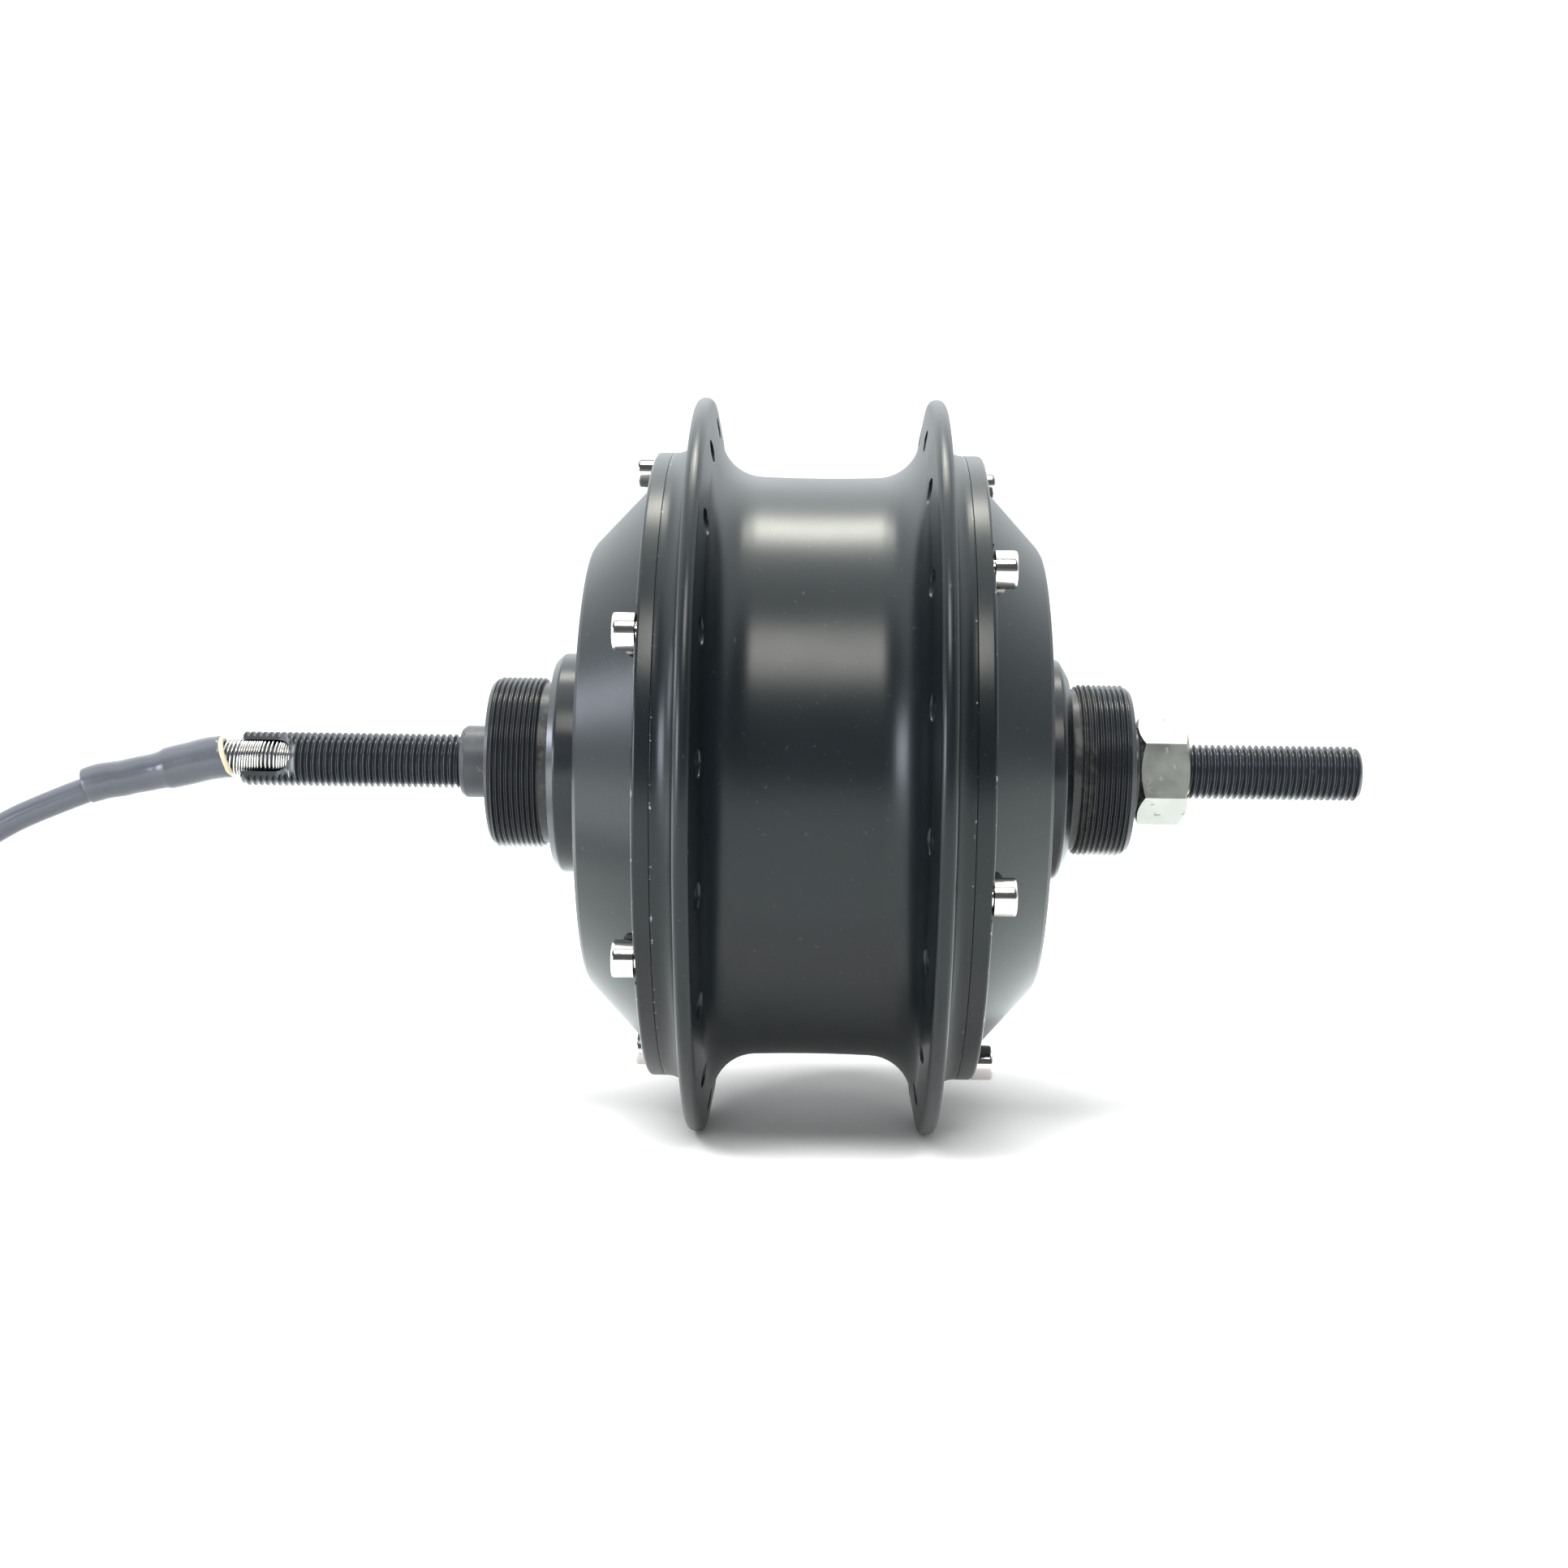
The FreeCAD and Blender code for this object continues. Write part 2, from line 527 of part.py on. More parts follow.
def axle_nut():
    """A hexagon nut with both faces chamfered; one flat faces the -X side."""
    inner, outer = dim("nut_inner"), dim("nut_outer")
    across = dim("nut_flats")
    corner = across * (0.5 / math.cos(math.radians(30)))
    hexagon = doc.addObject("Part::Prism", "nut_hexagon")
    hexagon.Polygon = 6
    bind(hexagon, "Circumradius", corner)
    bind(hexagon, "Height", inner - outer)
    place(hexagon, None, outer, None, Rotation(Vector(0, 1, 0), 30) * ALONG_Y)
    taper, edge, bore = dim("nut_taper"), dim("nut_edge"), dim("thread_core_radius")
    envelope = lathe("nut_envelope", [
        (bore, outer), (edge, outer), (corner, outer + taper), (corner, inner - taper),
        (edge, inner), (bore, inner)])
    common = doc.addObject("Part::MultiCommon", "nut_common")
    common.Shapes = [hexagon, envelope]
    node(common, "axle_nut")
    node(ring("washer_turned", dim("washer_radius"), bore, inner,
              dim("axle_right_shoulder")), "axle_washer")


# ---------------------------------------------------------------- motor
def stator():
    start, end = plain("stator_start"), plain("stator_end")
    depth, count = end - start, int(plain("tooth_count"))
    yoke_in, yoke_out = plain("stator_yoke_inner"), plain("stator_yoke_outer")
    tip, shoe = plain("stator_radius"), plain("tooth_shoe")
    core = Part.makeCylinder(yoke_out, depth).cut(Part.makeCylinder(yoke_in, depth))
    shoes = Part.makeCylinder(tip, depth).cut(Part.makeCylinder(tip - shoe, depth))
    step = 360.0 / count
    width, root = plain("tooth_width"), plain("tooth_root")
    for index in range(count):
        web = Part.makeBox(tip - shoe * 0.5 - yoke_in - root, width, depth,
                           Vector(yoke_in + root, -width / 2, 0))
        web.rotate(Vector(0, 0, 0), Vector(0, 0, 1), index * step)
        core = core.fuse(web)
        mouth = Part.makeBox(tip, plain("slot_mouth"), depth,
                             Vector(0, -plain("slot_mouth") / 2, 0))
        mouth.rotate(Vector(0, 0, 0), Vector(0, 0, 1), (index + 0.5) * step)
        shoes = shoes.cut(mouth)
    made("stator_core", along_y(core.fuse(shoes).removeSplitter(), end))
    coils = []
    side, overhang = plain("coil_side"), plain("coil_overhang")
    inner, outer = yoke_out + plain("coil_clear"), tip - shoe - plain("coil_gap") * 2
    height, far = depth + 2 * overhang, tip * 1.5
    spread = far * math.tan(math.radians(step / 2)) - plain("coil_gap")
    wedge = Part.makePolygon([Vector(), Vector(far, spread, 0), Vector(far, -spread, 0),
                              Vector()])
    wedge = Part.Face(wedge).extrude(Vector(0, 0, height))
    wedge.translate(Vector(0, 0, -overhang))
    gap = plain("small_gap")
    tooth = Part.makeBox(far, width + gap, depth + 2 * gap, Vector(0, -(width + gap) / 2, -gap))
    block = Part.makeBox(outer - inner, width + 2 * side, height,
                         Vector(inner, -width / 2 - side, -overhang))
    block = block.common(wedge).cut(tooth)
    for index in range(count):
        coil = block.copy()
        coil.rotate(Vector(0, 0, 0), Vector(0, 0, 1), index * step)
        coils.append(coil)
    made("stator_windings", along_y(Part.makeCompound(coils), end))
    hub = ring("stator_hub_turned", dim("stator_yoke_inner"), dim("stator_seat_radius"),
               dim("stator_start"), dim("stator_end"))
    keyway = key_block("hub_keyway", dim("stator_seat_radius") - dim("key_depth"),
                       dim("stator_start") - PAST, dim("stator_end") + PAST)
    node(cut("stator_hub_cut", hub, keyway), "stator_hub")
    node(ring("board_turned", dim("board_outer"), dim("board_inner"), dim("board_start"),
              dim("board_start") + dim("board_thickness")), "sensor_board")
    low, rise = plain("lead_low"), plain("lead_high") - plain("lead_low")
    leads = [Part.makeCylinder(plain("lead_radius"), rise,
                               Vector(offset * plain("lead_spacing"), plain("lead_plane"), low))
             for offset in (-1, 0, 1)]
    made("motor_leads", Part.makeCompound(leads))


def rotor():
    magnet_in = dim("stator_radius") + dim("air_gap")
    bell_in = magnet_in + dim("magnet_thickness")
    bell_out = bell_in + dim("bell_wall")
    web_start, web_end = dim("bell_web_start"), dim("bell_web_end")
    node(lathe("bell_turned", [
        (dim("rotor_bearing_radius"), web_start), (bell_out, web_start),
        (bell_out, dim("bell_rim_end")), (bell_in, dim("bell_rim_end")), (bell_in, web_end),
        (dim("bell_hub_radius"), web_end), (dim("bell_hub_radius"), dim("bell_hub_end")),
        (dim("rotor_bearing_radius"), dim("bell_hub_end"))]), "rotor_bell")
    count = int(plain("magnet_count"))
    length = plain("magnet_end") - plain("magnet_start")
    spread = 360.0 / count - plain("magnet_gap_angle")
    magnets = []
    for index in range(count):
        outer = Part.makeCylinder(bell_in.value, length, Vector(), Vector(0, 0, 1), spread)
        inner = Part.makeCylinder(magnet_in.value, length)
        magnet = outer.cut(inner)
        magnet.rotate(Vector(0, 0, 0), Vector(0, 0, 1), index * 360.0 / count)
        magnets.append(magnet)
    made("rotor_magnets", along_y(Part.makeCompound(magnets), plain("magnet_end")))
    radius, wall = dim("rotor_bearing_radius"), dim("rotor_bearing_wall")
    shaft, width = dim("sun_span_radius"), dim("rotor_bearing_width")
    first = web_start + dim("rotor_bearing_gap")
    second = first + width + dim("rotor_bearing_gap")
    for label, outer, inner in (("rotor_bearing_outer_races", radius, radius - wall),
                                ("rotor_bearing_inner_races", shaft + wall, shaft)):
        pair = [ring("%s_%d" % (label, i), outer, inner, start, start + width)
                for i, start in enumerate((first, second))]
        node(group(label + "_pair", pair), label)
    gap = dim("small_gap")
    node(ring("rotor_stop_turned", shaft + dim("stop_ring_wall"), shaft,
              second + width + gap, dim("stator_seat_start") - gap), "rotor_stop_ring")


# ---------------------------------------------------------------- planetary gear stage
def gear_shape(teeth, length, internal=False, outer_radius=0.0, bore=0.0, shift=0.0):
    """An involute spur gear, drawn about the origin with a tooth on +X, lying along -Y."""
    builder = FCWireBuilder()
    if internal:
        involute.CreateInternalGear(builder, plain("gear_module"), int(teeth),
                                    plain("pressure_angle"), True, plain("ring_addendum"))
    else:
        involute.CreateExternalGear(builder, plain("gear_module"), int(teeth),
                                    plain("pressure_angle"), True, 1.0, 1.25, 0.375, shift)
    outline = Part.Face(Part.Wire([edge.toShape() for edge in builder.wire]))
    teeth_solid = outline.extrude(Vector(0, 0, length))
    if internal:
        shape = Part.makeCylinder(outer_radius, length).cut(teeth_solid)
    else:
        shape = teeth_solid.cut(Part.makeCylinder(bore, length))
    return along_y(shape)


def gears():
    start, end = plain("gear_start"), plain("gear_end")
    width = end - start
    ring_width = plain("ring_end") - plain("ring_start")
    ring_gear = gear_shape(plain("ring_teeth"), ring_width, True, plain("ring_outer_radius"))
    ring_gear.translate(Vector(0, plain("ring_end"), 0))
    dowels = []
    for index in range(int(plain("planet_count"))):
        theta = math.radians(plain("left_spoke_angle") + index * 360.0 / plain("planet_count"))
        at = Vector(-plain("ring_outer_radius") * math.cos(theta), plain("ring_start"),
                    plain("ring_outer_radius") * math.sin(theta))
        dowels.append(Part.makeCylinder(plain("dowel_radius"), ring_width, at, Vector(0, 1, 0)))
    made("ring_gear", ring_gear.cut(Part.makeCompound(dowels)))
    made("ring_gear_dowels", Part.makeCompound(dowels))

    along, flange_start = Vector(0, 1, 0), plain("sun_flange_start")
    flange_width = plain("bell_web_start") - flange_start
    tooth_end = flange_start + plain("sun_overlap")
    sun = gear_shape(plain("sun_teeth"), tooth_end - start, bore=plain("sun_bore"))
    sun.translate(Vector(0, tooth_end, 0))
    at = Vector(0, flange_start, 0)
    flange = Part.makeCylinder(plain("sun_flange_radius"), flange_width, at, along)
    sun = sun.fuse(flange.cut(Part.makeCylinder(plain("sun_bore"), flange_width, at, along)))
    screws, thin = [], plain("sun_screw_radius")
    for index in range(int(plain("sun_screw_count"))):
        theta = math.radians((index + 0.5) * 360.0 / plain("sun_screw_count"))
        at = Vector(plain("sun_screw_circle") * math.cos(theta), flange_start,
                    plain("sun_screw_circle") * math.sin(theta))
        head = Part.makeCone(plain("sun_screw_head"), thin, plain("sun_screw_sink"), at, along)
        screws.append(head.fuse(Part.makeCylinder(thin, flange_width, at, along)))
    made("sun_gear", sun.cut(Part.makeCompound(screws)))
    made("sun_gear_screws", Part.makeCompound(screws))

    distance = plain("gear_module") * (plain("sun_teeth") + plain("planet_teeth")) / 2
    pitch = 360.0 / plain("planet_teeth")
    count = int(plain("planet_count"))
    bearing_out, wall = plain("planet_bearing_outer"), plain("planet_bearing_wall")
    pin = plain("planet_pin_radius")
    inset, clip_width = plain("race_inset"), plain("clip_width")
    race_width = width - 2 * inset
    inner_races, pins, clips = [], [], []
    for index in range(count):
        angle = index * 360.0 / count
        theta = math.radians(angle)
        centre = Vector(distance * math.cos(theta), 0, distance * math.sin(theta))
        planet = gear_shape(plain("planet_teeth"), width, bore=bearing_out,
                            shift=plain("planet_shift"))
        planet.rotate(Vector(0, 0, 0), Vector(0, 1, 0), -(angle + pitch / 2))
        planet.translate(centre + Vector(0, end, 0))
        made("planet_gear_%d" % (index + 1), planet)
        low = centre + Vector(0, start + inset, 0)
        race = Part.makeCylinder(bearing_out, race_width, low, along)
        race = race.cut(Part.makeCylinder(bearing_out - wall, race_width, low, along))
        made("planet_bearing_%d" % (index + 1), race)
        inner = Part.makeCylinder(pin + wall, race_width, low, along)
        inner_races.append(inner.cut(Part.makeCylinder(pin, race_width, low, along)))
        pin_start = plain("carrier_start")
        pins.append(Part.makeCylinder(pin, end + plain("pin_reach") - pin_start,
                                      centre + Vector(0, pin_start, 0), along))
        clip_at = centre + Vector(0, end + plain("clip_gap"), 0)
        clip = Part.makeCylinder(pin + plain("clip_wall"), clip_width, clip_at, along)
        clips.append(clip.cut(Part.makeCylinder(pin, clip_width, clip_at, along)))
    made("planet_inner_races", Part.makeCompound(inner_races))
    made("planet_pins", Part.makeCompound(pins))
    made("planet_pin_clips", Part.makeCompound(clips))


def carrier():
    """The planet carrier, and the one-way roller clutch that holds it on the axle."""
    hub, seat = dim("carrier_hub_radius"), dim("clutch_outer_radius")
    lip, clutch_stop = seat - dim("clutch_lip"), dim("clutch_end") + dim("clutch_gap")
    body = lathe("carrier_turned", [
        (seat, dim("carrier_hub_start")), (hub, dim("carrier_hub_start")),
        (hub, dim("carrier_start")), (dim("carrier_radius"), dim("carrier_start")),
        (dim("carrier_radius"), dim("carrier_end")), (lip, dim("carrier_end")),
        (lip, clutch_stop), (seat, clutch_stop)])
    teeth = dim("sun_teeth") + dim("planet_teeth")
    distance = dim("gear_module").times(teeth) * 0.5
    pin_holes = rods_on_circle("pin_hole", distance, Dim(180.0, "180"), dim("planet_count"),
                               dim("planet_pin_radius"), dim("carrier_start") - PAST,
                               dim("carrier_end") + PAST)
    node(cut("carrier_drilled", body, *pin_holes), "planet_carrier")
    start, end = dim("clutch_start"), dim("clutch_end")
    node(ring("clutch_outer_turned", seat, dim("clutch_track_radius"), start, end),
         "clutch_outer_ring")
    inner = ring("clutch_inner_turned", dim("clutch_inner_radius"), dim("right_seat_radius"),
                 start, end)
    keyway = key_block("clutch_inner_keyway", dim("right_seat_radius") - dim("key_depth"),
                       start - PAST, end + PAST)
    node(cut("clutch_inner_cut", inner, keyway), "clutch_inner_ring")
    middle = (dim("clutch_inner_radius") + dim("clutch_track_radius")) * 0.5
    gap = (dim("clutch_track_radius") - dim("clutch_inner_radius")) * 0.5
    inset = dim("roller_inset")
    rollers = rods_on_circle("roller", middle, Dim(0.0, "0.0"), dim("roller_count"),
                             gap - dim("roller_gap"), start + inset, end - inset)
    node(group("rollers", rollers), "clutch_rollers")


# ---------------------------------------------------------------- cable
ARC_SHARE = 0.45     # how much of the shorter run an arc takes at each end


def rounded_path(route, name):
    """Straight runs joined by tangent arcs, each as large as its two runs allow."""
    points = [Vector(*point) for point in route]
    edges, start, radii = [], points[0], []
    for before, here, after in zip(points, points[1:], points[2:]):
        back, ahead = (before - here), (after - here)
        shorter = min(back.Length, ahead.Length)
        half_turn = (math.pi - back.getAngle(ahead)) / 2
        reach = ARC_SHARE * shorter
        back.normalize()
        ahead.normalize()
        first, last = here + back * reach, here + ahead * reach
        radius = reach / math.tan(half_turn)
        bisector = (back + ahead).normalize()
        centre = here + bisector * (radius / math.cos(half_turn))
        middle = centre - bisector * radius
        edges.append(Part.LineSegment(start, first).toShape())
        edges.append(Part.Arc(first, middle, last).toShape())
        start = last
        radii.append(radius)
    edges.append(Part.LineSegment(start, points[-1]).toShape())
    print("%s bend radii:" % name, ", ".join("%.0f" % radius for radius in radii))
    return Part.Wire(edges)


def swept(path, radius, name):
    """A round bar along a path, checked against its section times its length."""
    edge = path.Edges[0]
    start, direction = edge.valueAt(edge.FirstParameter), edge.tangentAt(edge.FirstParameter)
    section = Part.Wire([Part.Circle(start, direction, radius).toShape()])
    bar = path.makePipeShell([section], True, False)
    expected = math.pi * radius ** 2 * path.Length
    print("%s length %.1f, volume over section x length %.4f"
          % (name, path.Length, bar.Volume / expected))
    return bar


FLOOR = -SIZES["flange_radius"]
CABLE_ON_FLOOR = FLOOR + SIZES["cable_radius"]

# The cable's route from inside the axle's slot, out, down and over the coil's outer turn.
LEAD_ROUTE = [
    (0.0, 108.0, 0.1), (0.0, 120.0, 0.8), (0.0, 133.0, -2.6), (0.0, 147.0, -5.7),
    (0.0, 157.0, -9.5), (0.0, 168.6, -14.7), (0.0, 186.0, -27.0), (0.0, 199.0, -43.0),
    (0.0, 210.0, -57.0), (0.0, 222.0, -64.6), (0.3, 236.0, -66.0), (3.4, 248.6, -71.0),
]
# From the coil's outer turn to the connector.
TAIL_ROUTE = [
    (26.0, 200.2, CABLE_ON_FLOOR), (14.0, 199.6, CABLE_ON_FLOOR),
    (2.0, 200.2, -69.4), (-10.0, 200.9, FLOOR + SIZES["connector_radius"]),
]
# The heat-shrink sleeve's route, round the lead's.
SLEEVE_ROUTE = [(0.0, 122.6, 0.1), (0.0, 127.0, -1.05), (0.0, 133.0, -2.6),
                (0.0, 147.0, -5.7), (0.0, 151.3, -7.1)]


def straight(radius, start, direction, length):
    return Part.makeCylinder(radius, length, start, direction)


def cable():
    """The cable with its spring guard and sleeve, the coil, its tie and the connector."""
    radius = plain("cable_radius")
    inside_from = plain("bore_bottom") + PAST
    made("axle_cable", straight(radius, Vector(0, inside_from, 0), Vector(0, 1, 0),
                                LEAD_ROUTE[0][1] - inside_from))
    lead = swept(rounded_path(LEAD_ROUTE, "cable_lead"), radius, "cable_lead")
    made("cable_lead", lead)
    spring = ring("spring_turned", dim("spring_radius"), dim("spring_bore"),
                  dim("spring_start"), dim("spring_end"))
    node(spring, "spring_guard")
    doc.recompute()
    taken = [lead, Part.makeCylinder(plain("spring_radius"), plain("glue_length") * 4,
                                     Vector(0, plain("spring_end") - plain("glue_length") * 4, 0),
                                     Vector(0, 1, 0))]
    mouth, along = Vector(*SLEEVE_ROUTE[0]), Vector(*SLEEVE_ROUTE[1]) - Vector(*SLEEVE_ROUTE[0])
    along.normalize()
    glue = straight(plain("sleeve_radius"), mouth - along * plain("glue_length"), along,
                    plain("glue_length"))
    made("sleeve_glue_ring", glue.cut(taken))
    sleeve = swept(rounded_path(SLEEVE_ROUTE, "heat_shrink_sleeve"), plain("sleeve_radius"),
                   "heat_shrink_sleeve")
    made("heat_shrink_sleeve", sleeve.cut(taken))

    centre = Vector(plain("coil_centre_x"), plain("coil_centre_y"), FLOOR)
    clearance, up = plain("coil_clearance"), Vector(0, 0, 1)
    inner = plain("coil_inner_turn") - radius - clearance
    outer = (plain("coil_inner_turn") + plain("coil_pitch") * plain("coil_turns") + radius
             + 2 * clearance)
    coil = straight(outer, centre, up, 2 * radius)
    made("cable_coil", coil.cut(straight(inner, centre, up, 2 * radius)))
    made("cable_tail", swept(rounded_path(TAIL_ROUTE, "cable_tail"), radius, "cable_tail"))
    width, band = plain("tie_width"), plain("tie_thickness")
    low = Vector(centre.x - width / 2, centre.y + inner - band, FLOOR)
    span = outer - inner
    outside = Part.makeBox(width, span + 2 * band, 2 * radius + band, low)
    inside = Part.makeBox(width, span, 2 * radius - band, low + Vector(0, band, band))
    made("cable_tie", outside.cut(inside))

    at, along = Vector(*TAIL_ROUTE[-1]), Vector(-1, 0, 0)
    tip = Vector(plain("connector_start"), at.y, at.z)
    boot, grip, big = plain("boot_length"), plain("grip_length"), plain("connector_radius")
    body = Part.makeCone(radius + plain("boot_wall"), big - plain("grip_step"), boot, tip, along)
    body = body.fuse(straight(big, tip + along * boot, along, grip))
    held = tip.x - at.x + plain("cable_in_connector")
    entry = straight(radius, Vector(tip.x, at.y, at.z), along, held)
    made("connector_body", body.cut(entry).removeSplitter())
    skirt_at = tip + along * (boot + grip)
    pins_at = skirt_at + along * plain("skirt_floor")
    skirt = straight(plain("skirt_radius"), skirt_at, along, plain("skirt_length"))
    hollow = plain("skirt_length") - plain("skirt_floor")
    made("connector_socket", skirt.cut(straight(plain("skirt_bore"), pins_at, along, hollow)))
    pins = [straight(plain("pin_radius"), pins_at, along, plain("pin_length"))]
    for index in range(int(plain("pin_count"))):
        theta = math.radians(index * 360.0 / plain("pin_count"))
        offset = Vector(0, math.cos(theta), math.sin(theta)) * plain("pin_circle")
        pins.append(straight(plain("pin_radius"), pins_at + offset, along, plain("pin_length")))
    made("connector_pins", Part.makeCompound(pins))
    print("coil length %.1f" % coil_length())


def coil_length():
    turns, pitch = plain("coil_turns"), plain("coil_pitch")
    mean = plain("coil_inner_turn") + pitch * turns / 2
    return 2 * math.pi * mean * turns


# ---------------------------------------------------------------- assembly
hub_shell()
for side in ("left", "right"):
    side_cover(side)
    cover_screws(side)
main_bearing("left", "stator_seat_radius")
main_bearing("right", "right_seat_radius")
oil_seal("left", dim("spacer_radius"))
oil_seal("right", dim("right_seat_radius"))
axle()
axle_spacer()
axle_nut()
stator()
rotor()
gears()
carrier()
cable()
doc.recompute()

for obj in doc.Objects:
    if "Invalid" in obj.State or "Error" in obj.State:
        raise RuntimeError("%s failed: %s" % (obj.Label, obj.State))
os.makedirs("parts", exist_ok=True)
for sub_part in NODES:
    shape = sub_part.Shape
    if shape.isNull() or not shape.isValid() or not shape.Solids:
        raise RuntimeError("%s has no valid solid" % sub_part.Label)
    shape.exportStep("parts/%s.step" % sub_part.Label)
    print("%-28s %2d solids %10.1f mm3" % (sub_part.Label, len(shape.Solids), shape.Volume))
print(len(NODES), "nodes")
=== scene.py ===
import json
import math

import bmesh
import bpy
from mathutils import Matrix, Vector


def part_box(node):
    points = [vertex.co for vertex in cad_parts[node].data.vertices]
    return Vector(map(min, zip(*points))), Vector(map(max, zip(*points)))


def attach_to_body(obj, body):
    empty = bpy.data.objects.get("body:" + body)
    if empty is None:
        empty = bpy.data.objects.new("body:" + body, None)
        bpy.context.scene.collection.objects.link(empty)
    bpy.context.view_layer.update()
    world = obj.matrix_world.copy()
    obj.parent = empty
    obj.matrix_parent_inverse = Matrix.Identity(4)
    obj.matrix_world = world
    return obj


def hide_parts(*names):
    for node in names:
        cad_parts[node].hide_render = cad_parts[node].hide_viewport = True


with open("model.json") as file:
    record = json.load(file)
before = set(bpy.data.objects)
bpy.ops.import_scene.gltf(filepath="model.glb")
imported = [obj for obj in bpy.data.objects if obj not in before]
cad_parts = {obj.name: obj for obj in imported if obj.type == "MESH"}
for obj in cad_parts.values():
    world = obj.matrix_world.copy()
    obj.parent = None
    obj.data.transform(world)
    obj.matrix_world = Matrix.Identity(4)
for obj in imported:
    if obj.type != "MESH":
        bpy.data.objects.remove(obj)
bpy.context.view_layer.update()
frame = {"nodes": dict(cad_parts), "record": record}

MM = 0.001
SCENE = bpy.context.scene


def near(node):
    """The node's lowest corner, in millimetres."""
    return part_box(node)[0] / MM


def far(node):
    """The node's highest corner, in millimetres."""
    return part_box(node)[1] / MM


def placed(name, data):
    """A new object in the scene."""
    made = bpy.data.objects.new(name, data)
    SCENE.collection.objects.link(made)
    return made


FLOOR = near("hub_shell").z
AXLE_LEFT, AXLE_RIGHT = far("axle").y, near("axle").y

# the hub's shared sizes: radii, and places along the axle counted outwards on each side
SIGN = {"left": 1.0, "right": -1.0}
FACE = {"left": far("left_cover").y, "right": -near("right_cover").y}
TIP = {"left": far("left_boss").y, "right": -near("right_boss").y}
RIM = 63.2
RIM_FACE = {"left": FACE["left"] - 12.5, "right": FACE["right"] - 12.0}
JOINT = {"left": 29.2, "right": 28.5}
JOINT_EDGE = 0.14
SCREW_CIRCLE, SCREW_COUNT = 59.7, 6
SCREW_START = {"left": 23.2, "right": 37.25}
SPOKE_COUNT = 18
SPOKE_START = {"left": 0.0, "right": 8.8}
SPOKE_CIRCLE = {"left": 68.3, "right": 67.65}
BOSS_THREAD, BOSS_DEPTH, BOSS_PITCH = 17.4, 0.66, 1.058
AXLE_THREAD, AXLE_DEPTH, AXLE_PITCH = 5.555, 0.76, 1.27
AXLE_CORE, AXLE_HOLE = 5.2, 5.25
SLOT_START, SLOT_END_RADIUS = 111.0, 4.4

# ---------------------------------------------------------------- camera
# the camera's axes and eye, in metres
RIGHT = (0.01788748, -0.99974003, 0.01413868)
UP = (0.0054129, 0.01423756, 0.99988399)
AHEAD = (0.99982535, 0.01780887, -0.00566617)
EYE = (-0.4312044, -0.0011076, -0.0012818)
lens = bpy.data.cameras.new("camera")
lens.lens, lens.sensor_width, lens.clip_start = 48.2516, 36.0, 0.01
camera = placed("camera", lens)
camera.matrix_world = Matrix([(r, u, -a, e) for r, u, a, e in zip(RIGHT, UP, AHEAD, EYE)]
                             + [(0, 0, 0, 1)])
SCENE.camera = camera


